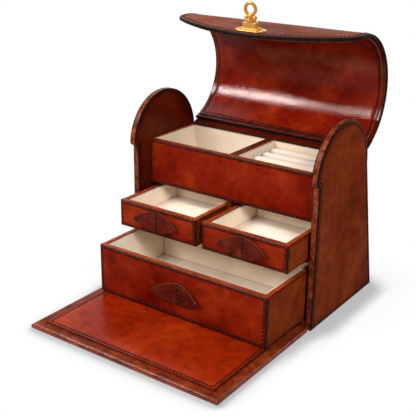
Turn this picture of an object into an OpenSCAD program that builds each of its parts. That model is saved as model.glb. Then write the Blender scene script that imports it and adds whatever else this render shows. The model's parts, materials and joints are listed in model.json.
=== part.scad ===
// Leather jewellery box with an arched lid, a lined top tray, three drawers and a drop front.
// Drawn as the photograph shows it: lid open, drawers out, front flap down.
// Local y = 0 is the front plane of the carcass. The origin is the middle of the footprint, on the floor.

/* [Carcass] */
// Overall width over the two side panels
body_width = 240; // [200:1:300]
// Depth of a side panel where it stands on the floor
base_depth = 144; // [138:1:160]
// Height of the shoulder, where the arch of a side panel begins
shoulder_height = 160; // [157:0.5:170]
// Radius of the arch on a side panel
arch_radius = 56.5; // [54:0.25:58]
// How far the arch stands in front of the panel below it, to cover the closed flap
arch_step = 6; // [5:0.25:6.5]
// Thickness of a side panel
side_thickness = 8.5; // [6:0.5:9.5]
// Thickness of the back panel, measured level
back_thickness = 5; // [4:0.5:7]
// How far the back panel rises above the shoulder
back_rise = 6; // [4:0.5:6.5]
// Thickness of the base panel
base_thickness = 8.4; // [7.8:0.2:9]
// Thickness of the shelf between the drawers
shelf_thickness = 9.8; // [6:0.2:12]
// Thickness of the upright between the small drawers
partition_thickness = 4.8; // [3:0.2:6]

/* [Top tray] */
// Setback of the tray front behind the front plane
tray_setback = 19; // [14:0.5:24]
// Thickness of the tray front
tray_front_thickness = 6; // [4:0.5:8]
// How far the tray's rim rises above the shoulder
tray_rim_rise = 5; // [3:0.5:6]
// Thickness of the tray floor
tray_floor_thickness = 5; // [3:0.5:7]
// Thickness of the boards at the ends of the tray
tray_end_thickness = 3; // [2:0.25:5]
// Width of the divider between the two compartments
divider_width = 10; // [6:0.5:14]
// How far the linings stay below a rim
lining_drop = 2.5; // [1:0.25:4]
// Thickness of the suede linings
lining_thickness = 1.5; // [1:0.1:2]
// Number of ring rolls
roll_count = 4; // [2:1:4]
// Diameter of a ring roll at its crown
roll_diameter = 17.4; // [14:0.2:17.6]
// Distance between neighbouring ring rolls
roll_pitch = 18; // [18:0.1:18.4]
// How far the rolls stay below the rim
roll_drop = 8; // [6:0.5:12]

/* [Drawers] */
// Height of the large drawer
large_height = 56.3; // [44:0.5:58]
// Height of a small drawer
small_height = 30.5; // [27:0.5:32]
// Setback of a closed drawer's front face behind the front plane
drawer_setback = 10; // [8:0.5:16]
// Gap between a closed drawer and the back panel
drawer_back_gap = 1; // [0.6:0.1:6]
// How far the large drawer is pulled out, front face to front plane
large_out = 73.2; // [40:0.5:85]
// How far the small drawers are pulled out, front face to front plane
small_out = 37.5; // [20:0.5:50]
// Gap between a drawer and the side panel beside it
drawer_side_gap = 3; // [1.5:0.1:4]
// Gap between a drawer and the board it slides on
drawer_under_gap = 0.6; // [0.4:0.1:0.8]
// Gap over the large drawer
large_over_gap = 1.2; // [0.8:0.1:3]
// Gap over the small drawers
small_over_gap = 5; // [2:0.5:6]
// Gap between a small drawer and the upright beside it
partition_gap = 1.2; // [0.6:0.1:2]
// Thickness of a drawer front
drawer_front_thickness = 7; // [5:0.25:9]
// Thickness of the other drawer walls
drawer_wall_thickness = 6.5; // [4:0.25:8]
// Thickness of a drawer bottom
drawer_bottom_thickness = 7.5; // [3:0.25:9]
// Length of the leaf-shaped pull from tip to tip
pull_length = 60; // [40:1:64]
// Height of the leaf-shaped pull
pull_height = 24.5; // [16:0.5:26]
// Thickness of the pull's leather
pull_thickness = 2.2; // [1.6:0.1:3]
// How far the tips of a pull stand off the drawer front
pull_lift = 6.5; // [4:0.25:7]

/* [Drop front] */
// How much shorter the flap is than the shoulder is high
flap_short = 0; // [0:0.5:20]
// Inset of the flap's ends from the outside of the body
flap_inset = 3.5; // [1:0.25:7]
// Thickness of the flap board
flap_thickness = 5.4; // [5:0.1:5.8]
// Thickness of the raised panel on the flap
raised_thickness = 2.4; // [1.6:0.1:2.6]
// Margin of the flap board round the raised panel
raised_margin = 10; // [7:0.5:16]
// Distance from the front plane to the axis of the flap hinge
flap_hinge_setback = 3.5; // [3:0.1:5]

/* [Lid] */
// How much larger the inside of the lid's curve is than the arch
lid_gap = 6; // [5.5:0.1:7]
// Thickness of the lid's shell
lid_thickness = 4.2; // [3:0.2:4.6]
// Inset of the lid's ends from the outside of the body
lid_inset = 6; // [4:0.25:7]
// Thickness of the leather that lines the lid
lid_lining_thickness = 1.8; // [1.2:0.1:2.4]
// Margin of the shell round its lining
lid_margin = 4.5; // [4.5:0.5:8]
// Straight drop of the lid's front below its curve, at the middle
tongue_drop = 44; // [36:0.5:46]
// Rise of the bowed front edge from the middle to the ends
tongue_bow = 36; // [24:0.5:38]
// Radius of the lid's front corners
lid_corner = 14; // [10:0.5:20]
// Distance of the lid's hinge axis behind the arch
lid_hinge_back = 2.5; // [2.3:0.1:4]
// Height of the lid's hinge axis above the shoulder
lid_hinge_rise = 9; // [8.9:0.1:10.5]
// How far the middle of the closed lid's curve lies below the shoulder
lid_middle_drop = 3; // [1.5:0.1:3.5]
// Angle by which the lid stands open
lid_open = 84; // [60:1:95]

/* [Clasp] */
// Distance of the clasp's middle from the front edge of the lid
clasp_inset = 13; // [11:0.5:15]
// Length of the clasp's base plate
plate_length = 36; // [34:0.5:44]
// Width of the clasp's base plate
plate_width = 15; // [13.5:0.5:18]
// Width of the clasp's square block
block_width = 15; // [12:0.5:18]
// Height of the clasp's square block
block_height = 8; // [6:0.5:10]
// Radius of the ring from its middle to the middle of its wire
ring_radius = 6.2; // [5:0.1:8]
// Diameter of the ring's wire
ring_wire = 3.6; // [2.8:0.1:4]

/* [Hidden] */
$fn = 96;
// Clearances and small named sizes
eased = 0.9;
running = 0.4;
lap = 0.05;
hinge_bead = 2.3;
leaf_thickness = 2;
leaf_length = 24;
pull_seat = 0.3;
roll_crown = 0.6;
roll_end_gap = 0.6;
roll_end_round = 3;
roll_flat = 0.6;
plate_thickness = 1.6;
flange_thickness = 1.5;
flange_over = 2.4;
block_depth = 9;
collar_radius = 5.4;
collar_height = 3.2;
knuckle_radius = 2.5;
rivet_radius = 1.9;
rivet_dome = 0.9;
rivet_edge = 3;
far = 400;

front_plane = -base_depth / 2;
half_width = body_width / 2;
inner_half = half_width - side_thickness;
back_height = shoulder_height + back_rise;
tray_rim_height = shoulder_height + tray_rim_rise;

arch_middle = arch_radius - arch_step;
arch_back = arch_middle + arch_radius;
back_slope = (base_depth - arch_back) / shoulder_height;

large_low = base_thickness + drawer_under_gap;
shelf_low = large_low + large_height + large_over_gap;
shelf_top = shelf_low + shelf_thickness;
small_low = shelf_top + drawer_under_gap;
tray_low = small_low + small_height + small_over_gap;
tray_floor_top = tray_low + tray_floor_thickness;
tray_inside = tray_setback + tray_front_thickness;
tray_inner_half = inner_half - tray_end_thickness;

drawer_half = inner_half - drawer_side_gap;
small_inner_x = partition_thickness / 2 + partition_gap;
small_width = drawer_half - small_inner_x;
small_middle = (drawer_half + small_inner_x) / 2;
large_length = back_inside(large_low + large_height) - drawer_back_gap - drawer_setback;
small_length = back_inside(small_low + small_height) - drawer_back_gap - drawer_setback;

roll_radius = roll_diameter / 2;
roll_axis_height = tray_rim_height - roll_drop - roll_radius;
roll_bed_top = roll_axis_height - roll_radius + roll_flat;
roll_left = divider_width / 2 + lining_thickness + roll_end_gap;
roll_right = tray_inner_half - lining_thickness - roll_end_gap;
roll_length = roll_right - roll_left;

flap_length = shoulder_height - flap_short;
flap_width = body_width - 2 * flap_inset;
flap_hinge_height = flap_thickness / 2;
flap_back = -(flap_hinge_setback + hinge_bead + running);
flap_front = flap_back - flap_length;

lid_radius = arch_radius + lid_gap;
lid_width = body_width - 2 * lid_inset;
lid_hinge_depth = arch_back + lid_hinge_back;
lid_hinge_height = shoulder_height + lid_hinge_rise;
lid_middle_height = shoulder_height - lid_middle_drop;
lid_middle_radius = lid_radius + lid_thickness / 2;
hinge_rise = lid_hinge_height - lid_middle_height;
lid_middle = lid_hinge_depth - sqrt(lid_middle_radius * lid_middle_radius - hinge_rise * hinge_rise);
lid_start = asin(hinge_rise / lid_middle_radius) + (hinge_bead + running + 0.4) / lid_middle_radius * 180 / PI;
lid_lining_start = lid_start + lid_margin / lid_radius * 180 / PI;
lid_low = lid_middle_height - tongue_drop;
lid_bow_radius = (lid_width * lid_width / 4 + tongue_bow * tongue_bow) / (2 * tongue_bow);
lid_outer_face = lid_middle - lid_radius - lid_thickness;
clasp_height = lid_low + clasp_inset;

leather = [0.42, 0.13, 0.05];
bright_leather = [0.56, 0.21, 0.08];
dark_leather = [0.26, 0.07, 0.04];
suede = [0.86, 0.77, 0.64];
gold = [0.85, 0.62, 0.22];

// Level of the outer and the inner face of the sloping back panel
function back_outside(z) = base_depth - back_slope * z;
function back_inside(z) = back_outside(z) - back_thickness;

// Moves what is drawn from the front plane to the middle of the footprint
module place() {
    translate([0, front_plane, 0]) children();
}

// Draws a profile of depth and height along the width
module along_x(from, to) {
    translate([from, 0, 0])
        rotate([90, 0, 90])
            linear_extrude(height = to - from) children();
}

// Draws a profile of width and height along the depth
module along_y(from, to) {
    translate([0, to, 0])
        rotate([90, 0, 0])
            linear_extrude(height = to - from) children();
}

module span(low, high) {
    translate(low) cube(high - low);
}

// A rectangle with cut corners
module eased_rectangle(low, high, cut) {
    polygon([
        [low[0] + cut, low[1]], [high[0] - cut, low[1]], [high[0], low[1] + cut], [high[0], high[1] - cut],
        [high[0] - cut, high[1]], [low[0] + cut, high[1]], [low[0], high[1] - cut], [low[0], low[1] + cut]
    ]);
}

// A leather-covered board whose edges are eased
module board(low, high, cut = eased) {
    intersection() {
        along_x(low[0], high[0]) eased_rectangle([low[1], low[2]], [high[1], high[2]], cut);
        along_y(low[1], high[1]) eased_rectangle([low[0], low[2]], [high[0], high[2]], cut);
    }
}

// A board that ends against the sloping back panel
module board_to_back(from_x, to_x, from_y, low, high) {
    along_x(from_x, to_x)
        polygon([[from_y, low], [back_inside(low), low], [back_inside(high), high], [from_y, high]]);
}

// Side panels

module side_outline() {
    polygon([[0, 0], [base_depth, 0], [arch_back, shoulder_height], [0, shoulder_height]]);
    intersection() {
        translate([arch_middle, shoulder_height]) circle(r = arch_radius);
        translate([arch_middle - arch_radius, shoulder_height]) square([2 * arch_radius, arch_radius]);
    }
}

module left_side_panel() {
    color(leather) place() along_x(-half_width, -inner_half) side_outline();
}

module right_side_panel() {
    color(leather) place() along_x(inner_half, half_width) side_outline();
}

// Carcass boards

module back_panel() {
    color(leather) place()
        along_x(-inner_half, inner_half)
            polygon([
                [back_inside(0), 0], [back_outside(0), 0],
                [back_outside(back_height), back_height], [back_inside(back_height), back_height]
            ]);
}

module base_panel() {
    color(leather) place() board_to_back(-inner_half, inner_half, 0, 0, base_thickness);
}

module drawer_shelf() {
    color(leather) place() board_to_back(-inner_half, inner_half, tray_setback, shelf_low, shelf_top);
}

module drawer_partition() {
    color(leather) place()
        board_to_back(-partition_thickness / 2, partition_thickness / 2, tray_setback, shelf_top, tray_low);
}

// Top tray

module tray_front() {
    color(leather) place()
        board([-inner_half, tray_setback, tray_low], [inner_half, tray_inside, tray_rim_height]);
}

module tray_floor() {
    color(leather) place() board_to_back(-inner_half, inner_half, tray_inside, tray_low, tray_floor_top);
}

module tray_divider() {
    color(leather) place()
        board_to_back(-divider_width / 2, divider_width / 2, tray_inside, tray_floor_top, tray_rim_height);
}

module tray_left_end() {
    color(leather) place()
        board_to_back(-inner_half, -tray_inner_half, tray_inside, tray_floor_top, tray_rim_height);
}

module tray_right_end() {
    color(leather) place()
        board_to_back(tray_inner_half, inner_half, tray_inside, tray_floor_top, tray_rim_height);
}

// An open suede tub whose back leans with the back panel
module tray_lining(from_x, to_x) {
    rim = tray_rim_height - lining_drop;
    floor_top = tray_floor_top + lining_thickness;
    difference() {
        board_to_back(from_x, to_x, tray_inside, tray_floor_top, rim);
        along_x(from_x + lining_thickness, to_x - lining_thickness)
            polygon([
                [tray_inside + lining_thickness, floor_top],
                [back_inside(floor_top) - lining_thickness, floor_top],
                [back_inside(rim + 1) - lining_thickness, rim + 1],
                [tray_inside + lining_thickness, rim + 1]
            ]);
    }
}

module tray_left_lining() {
    color(suede) place() tray_lining(-tray_inner_half, -divider_width / 2);
}

module tray_right_lining() {
    color(suede) place() tray_lining(divider_width / 2, tray_inner_half);
}

module ring_bed() {
    color(suede) place()
        along_x(roll_left, roll_right)
            polygon([
                [tray_inside + lining_thickness, tray_floor_top + lining_thickness],
                [back_inside(roll_bed_top) - lining_thickness, tray_floor_top + lining_thickness],
                [back_inside(roll_bed_top) - lining_thickness, roll_bed_top],
                [tray_inside + lining_thickness, roll_bed_top]
            ]);
}

// Half section of a roll: a crowned side and drawn-in ends
module roll_section() {
    half = roll_length / 2;
    end_radius = roll_radius - roll_crown;
    side = [for (t = [-0.9 : 0.2 : 0.91]) [roll_radius - roll_crown * t * t, t * (half - roll_end_round)]];
    low_end = [
        for (a = [0 : 15 : 90])
            [end_radius - roll_end_round * (1 - sin(a)), -half + roll_end_round * (1 - cos(a))]
    ];
    high_end = [for (i = [len(low_end) - 1 : -1 : 0]) [low_end[i][0], -low_end[i][1]]];
    polygon(concat([[0, -half]], low_end, side, high_end, [[0, half]]));
}

module ring_rolls() {
    depth = back_inside(roll_bed_top) - tray_inside;
    first = tray_inside + depth / 2 - (roll_count - 1) / 2 * roll_pitch;
    color(suede) place()
        for (i = [0 : roll_count - 1])
            intersection() {
                translate([(roll_left + roll_right) / 2, first + i * roll_pitch, roll_axis_height])
                    rotate([0, 90, 0])
                        rotate_extrude() roll_section();
                span([roll_left - 1, 0, roll_bed_top], [roll_right + 1, base_depth, tray_rim_height]);
            }
}

// Leather hinges

module lid_hinge() {
    low = back_height - leaf_length;
    color(dark_leather) place()
        along_x(-inner_half + lid_margin, inner_half - lid_margin) {
            polygon([
                [back_outside(low), low],
                [back_outside(low) + leaf_thickness, low],
                [lid_hinge_depth + hinge_bead * 0.7, lid_hinge_height - hinge_bead * 0.7],
                [lid_hinge_depth - hinge_bead * 0.7, lid_hinge_height + hinge_bead * 0.7],
                [back_outside(back_height), back_height]
            ]);
            translate([lid_hinge_depth, lid_hinge_height]) circle(r = hinge_bead);
        }
}

module flap_hinge() {
    color(dark_leather) place()
        along_x(-drawer_half, drawer_half) {
            translate([-flap_hinge_setback, flap_hinge_height - leaf_thickness / 2])
                square([flap_hinge_setback, leaf_thickness]);
            translate([-flap_hinge_setback, flap_hinge_height]) circle(r = hinge_bead);
        }
}

// Lid, drawn shut and then swung open about its hinge

module swing_open() {
    translate([0, lid_hinge_depth, lid_hinge_height])
        rotate([-lid_open, 0, 0])
            translate([0, -lid_hinge_depth, -lid_hinge_height]) children();
}

// Section of the lid: an arc that runs into a straight tongue
module lid_section(inner, outer, start) {
    translate([lid_middle, lid_middle_height]) {
        intersection() {
            difference() {
                circle(r = outer, $fn = 180);
                circle(r = inner, $fn = 180);
            }
            polygon([[0, 0], [far * cos(start), far * sin(start)], [far, far], [-far, far], [-far, 0]]);
        }
        translate([-outer, -tongue_drop]) square([outer - inner, tongue_drop]);
    }
}

// Front view of the lid: a bowed lower edge that runs into round corners
module lid_outline(margin) {
    half = lid_width / 2 - margin;
    corner = lid_corner - margin;
    low = lid_low + margin;
    bow = lid_bow_radius - margin;
    corner_x = half - corner;
    corner_z = low + bow - sqrt(pow(bow - corner, 2) - corner_x * corner_x);
    meet_x = corner_x * bow / (bow - corner);
    translate([-half, corner_z]) square([2 * half, far - corner_z]);
    for (side = [-1, 1])
        translate([side * corner_x, corner_z]) circle(r = corner + lap);
    intersection() {
        translate([0, low + bow]) circle(r = bow, $fn = 360);
        translate([-meet_x, low - 1]) square([2 * meet_x, corner_z - low + 1 + lap]);
    }
}

module lid_layer(inner, outer, start, margin) {
    intersection() {
        along_x(-lid_width / 2 + margin, lid_width / 2 - margin) lid_section(inner, outer, start);
        along_y(-far / 2, far / 2) lid_outline(margin);
    }
}

module lid_shell() {
    color(leather) place() swing_open()
        lid_layer(lid_radius, lid_radius + lid_thickness, lid_start, 0);
}

module lid_lining() {
    color(leather) place() swing_open()
        lid_layer(lid_radius - lid_lining_thickness, lid_radius, lid_lining_start, lid_margin);
}

// Turn clasp, drawn standing on a table and then set on the lid's tongue

module on_tongue() {
    place() swing_open()
        translate([0, lid_outer_face, clasp_height])
            rotate([90, 0, 0]) children();
}

module clasp_plate() {
    round_end = plate_width / 2;
    color(gold) on_tongue()
        linear_extrude(height = plate_thickness) {
            square([plate_length - plate_width, plate_width], center = true);
            for (side = [-1, 1])
                translate([side * (plate_length / 2 - round_end), 0]) circle(r = round_end);
        }
}

module clasp_rivets() {
    sphere_radius = (rivet_radius * rivet_radius + rivet_dome * rivet_dome) / (2 * rivet_dome);
    color(gold) on_tongue()
        for (side = [-1, 1])
            intersection() {
                translate([side * (plate_length / 2 - rivet_edge), 0, plate_thickness + rivet_dome - sphere_radius])
                    sphere(r = sphere_radius);
                translate([-plate_length, -plate_width, plate_thickness])
                    cube([2 * plate_length, 2 * plate_width, 2 * rivet_dome]);
            }
}

module clasp_block() {
    flange_width = block_width + 2 * flange_over;
    flange_depth = block_depth + flange_over;
    color(gold) on_tongue() {
        translate([-flange_width / 2, -flange_depth / 2, plate_thickness])
            cube([flange_width, flange_depth, flange_thickness]);
        translate([-block_width / 2, -block_depth / 2, plate_thickness])
            cube([block_width, block_depth, block_height]);
    }
}

// The part that turns: a collar with two knuckles, a neck and the ring
module clasp_ring() {
    low = plate_thickness + block_height;
    knuckle_height = low + collar_height + knuckle_radius * 0.4;
    ring_middle = knuckle_height + knuckle_radius * 0.4 + ring_radius + ring_wire / 2;
    color(gold) on_tongue() {
        translate([0, 0, low]) cylinder(r = collar_radius, h = collar_height);
        translate([0, 0, low]) cylinder(r = collar_radius * 0.72, h = ring_middle - ring_radius - low);
        for (side = [-1, 1])
            translate([side * collar_radius * 0.95, 0, knuckle_height]) sphere(r = knuckle_radius);
        translate([0, 0, ring_middle])
            rotate([90, 0, 0])
                rotate_extrude() translate([ring_radius, 0]) circle(d = ring_wire);
    }
}

// Drop front

// A board with round edges at its front and sides
module flap_board() {
    round_edge = flap_thickness / 2;
    edge_x = flap_width / 2 - round_edge;
    edge_y = flap_front + round_edge;
    color(leather) place() {
        span([-edge_x, edge_y, 0], [edge_x, flap_back, flap_thickness]);
        translate([-edge_x, edge_y, round_edge]) rotate([0, 90, 0]) cylinder(r = round_edge, h = 2 * edge_x);
        for (side = [-1, 1]) {
            translate([side * edge_x, flap_back, round_edge])
                rotate([90, 0, 0]) cylinder(r = round_edge, h = flap_back - edge_y);
            translate([side * edge_x, edge_y, round_edge]) sphere(r = round_edge);
        }
    }
}

module flap_raised_panel() {
    half = flap_width / 2 - raised_margin;
    color(bright_leather) place()
        board(
            [-half, flap_front + raised_margin, flap_thickness],
            [half, flap_back - raised_margin, flap_thickness + raised_thickness]
        );
}

// Drawers. A drawer has its outer size, the middle of its width, its lower edge and its front face

module drawer_front(middle, width, low, height, front) {
    color(leather) place()
        board(
            [middle - width / 2, front, low],
            [middle + width / 2, front + drawer_front_thickness, low + height]
        );
}

module drawer_wall(outer_x, inward, low, height, front, length) {
    inner_x = outer_x + inward * drawer_wall_thickness;
    color(leather) place()
        span(
            [min(outer_x, inner_x), front + drawer_front_thickness, low],
            [max(outer_x, inner_x), front + length, low + height]
        );
}

module drawer_back(middle, width, low, height, front, length) {
    half = width / 2 - drawer_wall_thickness;
    color(leather) place()
        span(
            [middle - half, front + length - drawer_wall_thickness, low],
            [middle + half, front + length, low + height]
        );
}

module drawer_bottom(middle, width, low, front, length) {
    half = width / 2 - drawer_wall_thickness;
    color(leather) place()
        span(
            [middle - half, front + drawer_front_thickness, low],
            [middle + half, front + length - drawer_wall_thickness, low + drawer_bottom_thickness]
        );
}

module drawer_lining(middle, width, low, height, front, length) {
    half = width / 2 - drawer_wall_thickness;
    near = front + drawer_front_thickness;
    back = front + length - drawer_wall_thickness;
    floor_low = low + drawer_bottom_thickness;
    rim = low + height - lining_drop;
    color(suede) place()
        difference() {
            span([middle - half, near, floor_low], [middle + half, back, rim]);
            span(
                [middle - half + lining_thickness, near + lining_thickness, floor_low + lining_thickness],
                [middle + half - lining_thickness, back - lining_thickness, rim + 1]
            );
        }
}

// A leaf of leather, sewn down at its middle, with both wings curling off the front
module drawer_pull(middle, low, height, front) {
    half_length = pull_length / 2;
    half_height = pull_height / 2;
    leaf_radius = (half_length * half_length + half_height * half_height) / (2 * half_height);
    curl_radius = (half_length * half_length + pull_lift * pull_lift) / (2 * pull_lift);
    color(dark_leather) place()
        translate([middle, front, low + height / 2])
            intersection() {
                along_y(-2 * pull_lift, 0)
                    intersection() {
                        translate([0, leaf_radius - half_height]) circle(r = leaf_radius, $fn = 180);
                        translate([0, half_height - leaf_radius]) circle(r = leaf_radius, $fn = 180);
                    }
                translate([0, pull_seat - curl_radius, -pull_height])
                    difference() {
                        cylinder(r = curl_radius, h = 2 * pull_height, $fn = 180);
                        translate([0, 0, -1])
                            cylinder(r = curl_radius - pull_thickness, h = 2 * pull_height + 2, $fn = 180);
                    }
            }
}

// Large drawer

module large_front() {
    drawer_front(0, 2 * drawer_half, large_low, large_height, -large_out);
}

module large_left_wall() {
    drawer_wall(-drawer_half, 1, large_low, large_height, -large_out, large_length);
}

module large_right_wall() {
    drawer_wall(drawer_half, -1, large_low, large_height, -large_out, large_length);
}

module large_back() {
    drawer_back(0, 2 * drawer_half, large_low, large_height, -large_out, large_length);
}

module large_bottom() {
    drawer_bottom(0, 2 * drawer_half, large_low, -large_out, large_length);
}

module large_lining() {
    drawer_lining(0, 2 * drawer_half, large_low, large_height, -large_out, large_length);
}

module large_pull() {
    drawer_pull(0, large_low, large_height, -large_out);
}

// Left small drawer

module left_front() {
    drawer_front(-small_middle, small_width, small_low, small_height, -small_out);
}

module left_left_wall() {
    drawer_wall(-drawer_half, 1, small_low, small_height, -small_out, small_length);
}

module left_right_wall() {
    drawer_wall(-small_inner_x, -1, small_low, small_height, -small_out, small_length);
}

module left_back() {
    drawer_back(-small_middle, small_width, small_low, small_height, -small_out, small_length);
}

module left_bottom() {
    drawer_bottom(-small_middle, small_width, small_low, -small_out, small_length);
}

module left_lining() {
    drawer_lining(-small_middle, small_width, small_low, small_height, -small_out, small_length);
}

module left_pull() {
    drawer_pull(-small_middle, small_low, small_height, -small_out);
}

// Right small drawer

module right_front() {
    drawer_front(small_middle, small_width, small_low, small_height, -small_out);
}

module right_left_wall() {
    drawer_wall(small_inner_x, 1, small_low, small_height, -small_out, small_length);
}

module right_right_wall() {
    drawer_wall(drawer_half, -1, small_low, small_height, -small_out, small_length);
}

module right_back() {
    drawer_back(small_middle, small_width, small_low, small_height, -small_out, small_length);
}

module right_bottom() {
    drawer_bottom(small_middle, small_width, small_low, -small_out, small_length);
}

module right_lining() {
    drawer_lining(small_middle, small_width, small_low, small_height, -small_out, small_length);
}

module right_pull() {
    drawer_pull(small_middle, small_low, small_height, -small_out);
}

left_side_panel();
right_side_panel();
back_panel();
base_panel();
drawer_shelf();
drawer_partition();
tray_front();
tray_floor();
tray_divider();
tray_left_end();
tray_right_end();
tray_left_lining();
tray_right_lining();
ring_bed();
ring_rolls();
lid_hinge();
flap_hinge();
lid_shell();
lid_lining();
clasp_plate();
clasp_rivets();
clasp_block();
clasp_ring();
flap_board();
flap_raised_panel();
large_front();
large_left_wall();
large_right_wall();
large_back();
large_bottom();
large_lining();
large_pull();
left_front();
left_left_wall();
left_right_wall();
left_back();
left_bottom();
left_lining();
left_pull();
right_front();
right_left_wall();
right_right_wall();
right_back();
right_bottom();
right_lining();
right_pull();
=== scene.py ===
# %% [markdown]
# # Dressing a leather jewellery box
# The solids of the box are already modelled and packed. This lesson puts leather, suede, thread and gold on
# them, piece by piece. Sizes are written in millimetres and become metres in the part's own frame, so a
# piece lies where its solid is, and its place in the mesh is its place on the box.

# %% Load the solids
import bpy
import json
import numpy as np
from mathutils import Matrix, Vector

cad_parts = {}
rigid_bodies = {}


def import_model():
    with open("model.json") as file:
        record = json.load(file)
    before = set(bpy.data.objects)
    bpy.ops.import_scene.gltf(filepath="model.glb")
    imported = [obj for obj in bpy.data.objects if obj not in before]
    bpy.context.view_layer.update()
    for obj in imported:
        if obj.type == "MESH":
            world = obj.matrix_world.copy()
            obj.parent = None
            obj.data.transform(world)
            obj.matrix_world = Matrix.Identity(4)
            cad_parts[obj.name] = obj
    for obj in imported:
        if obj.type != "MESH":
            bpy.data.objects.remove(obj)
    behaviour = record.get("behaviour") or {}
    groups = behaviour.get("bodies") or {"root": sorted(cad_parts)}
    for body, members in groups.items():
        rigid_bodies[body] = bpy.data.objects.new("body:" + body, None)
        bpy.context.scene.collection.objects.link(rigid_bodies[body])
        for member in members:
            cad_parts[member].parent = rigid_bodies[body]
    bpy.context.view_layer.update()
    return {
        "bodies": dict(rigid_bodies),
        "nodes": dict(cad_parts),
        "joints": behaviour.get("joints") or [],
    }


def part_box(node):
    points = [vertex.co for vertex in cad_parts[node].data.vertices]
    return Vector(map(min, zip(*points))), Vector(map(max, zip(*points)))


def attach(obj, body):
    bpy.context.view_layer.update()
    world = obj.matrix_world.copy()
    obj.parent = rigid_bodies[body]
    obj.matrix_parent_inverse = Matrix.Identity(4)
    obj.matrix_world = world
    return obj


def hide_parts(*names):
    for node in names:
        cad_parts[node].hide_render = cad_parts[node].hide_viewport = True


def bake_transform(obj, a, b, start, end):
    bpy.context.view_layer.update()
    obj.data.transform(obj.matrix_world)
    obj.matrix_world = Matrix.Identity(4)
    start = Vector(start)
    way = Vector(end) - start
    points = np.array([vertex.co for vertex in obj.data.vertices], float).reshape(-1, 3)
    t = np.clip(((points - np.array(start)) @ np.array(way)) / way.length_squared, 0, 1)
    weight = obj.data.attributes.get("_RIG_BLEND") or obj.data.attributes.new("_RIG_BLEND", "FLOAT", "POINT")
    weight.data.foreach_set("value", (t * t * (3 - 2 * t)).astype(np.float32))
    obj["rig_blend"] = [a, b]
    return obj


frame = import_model()

# %% Tools for meshes
import json
import math
import bmesh
import bpy
import numpy as np
from mathutils import Matrix, Quaternion, Vector
from mathutils.geometry import delaunay_2d_cdt

print("Blender", bpy.app.version_string)

# %% [markdown]
# ## Finishes
# Polished leather is never one colour. Dye settles in clouds and wax lifts the tone in patches. The colour is
# also made darker towards cut edges, and a band of painted shade lies along the sunk line of each seam. A
# picture of leather would repeat itself and stretch, so each finish below mixes three tones with noise in
# Object coordinates.
# It also reads the attribute "edge", which every leather piece carries: the distance in millimetres to its
# own outline.


# %% Starting a material
def start_material(name):
    material = bpy.data.materials.new(name)
    material.use_nodes = True
    tree = material.node_tree
    tree.nodes.clear()
    shader = tree.nodes.new("ShaderNodeBsdfPrincipled")
    output = tree.nodes.new("ShaderNodeOutputMaterial")
    tree.links.new(shader.outputs["BSDF"], output.inputs["Surface"])
    return material, tree, shader


def object_coordinates(tree, stretch=(1, 1, 1)):
    coordinates = tree.nodes.new("ShaderNodeTexCoord")
    mapping = tree.nodes.new("ShaderNodeMapping")
    mapping.inputs["Scale"].default_value = stretch
    tree.links.new(coordinates.outputs["Object"], mapping.inputs["Vector"])
    return mapping.outputs["Vector"]


# %% Patterns and tones
def noise(tree, vector, scale, detail=3.0, roughness=0.5, distortion=0.0):
    node = tree.nodes.new("ShaderNodeTexNoise")
    node.inputs["Scale"].default_value = scale
    node.inputs["Detail"].default_value = detail
    node.inputs["Roughness"].default_value = roughness
    node.inputs["Distortion"].default_value = distortion
    tree.links.new(vector, node.inputs["Vector"])
    return node.outputs["Fac"]


def pores(tree, vector, scale):
    node = tree.nodes.new("ShaderNodeTexVoronoi")
    node.inputs["Scale"].default_value = scale
    tree.links.new(vector, node.inputs["Vector"])
    return node.outputs["Distance"]


def ramp(tree, factor, stops):
    node = tree.nodes.new("ShaderNodeValToRGB")
    points = node.color_ramp.elements
    while len(points) < len(stops):
        points.new(0.5)
    for point, (position, colour) in zip(points, stops):
        point.position = position
        point.color = (*colour, 1.0)
    tree.links.new(factor, node.inputs["Fac"])
    return node.outputs["Color"]


# %% Numbers, shades and bumps
def map_range(tree, value, given, wanted, shape="SMOOTHSTEP"):
    node = tree.nodes.new("ShaderNodeMapRange")
    node.interpolation_type = shape
    for socket, number in zip(("From Min", "From Max", "To Min", "To Max"), (*given, *wanted)):
        node.inputs[socket].default_value = number
    tree.links.new(value, node.inputs["Value"])
    return node.outputs["Result"]


def calculate(tree, operation, first, second):
    node = tree.nodes.new("ShaderNodeMath")
    node.operation = operation
    for socket, value in zip(node.inputs, (first, second)):
        if isinstance(value, (int, float)):
            socket.default_value = value
        else:
            tree.links.new(value, socket)
    return node.outputs["Value"]


def shade_colour(tree, colour, factor):
    node = tree.nodes.new("ShaderNodeVectorMath")
    node.operation = "SCALE"
    tree.links.new(colour, node.inputs["Vector"])
    tree.links.new(factor, node.inputs["Scale"])
    return node.outputs["Vector"]


def bump(tree, height, strength, distance, below=None):
    node = tree.nodes.new("ShaderNodeBump")
    node.inputs["Strength"].default_value = strength
    node.inputs["Distance"].default_value = distance
    tree.links.new(height, node.inputs["Height"])
    if below is not None:
        tree.links.new(below, node.inputs["Normal"])
    return node.outputs["Normal"]


# %% Polished leather
NOISE_SPAN = (0.3, 0.7)
TONE_STOPS = (0.3, 0.5, 0.72)
MOTTLE, WANDER, WAX, WAVES, GRAIN, PORES = 95, 60, 34, 26, 420, 1500
MOTTLE_TONES = (0.78, 1.16)
SEAM_REACH, SEAM_SHADE_TONES = (0.3, 1.1), (0.72, 1.0)
WARM_GLOSS = (1.0, 0.84, 0.78, 1.0)


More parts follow.
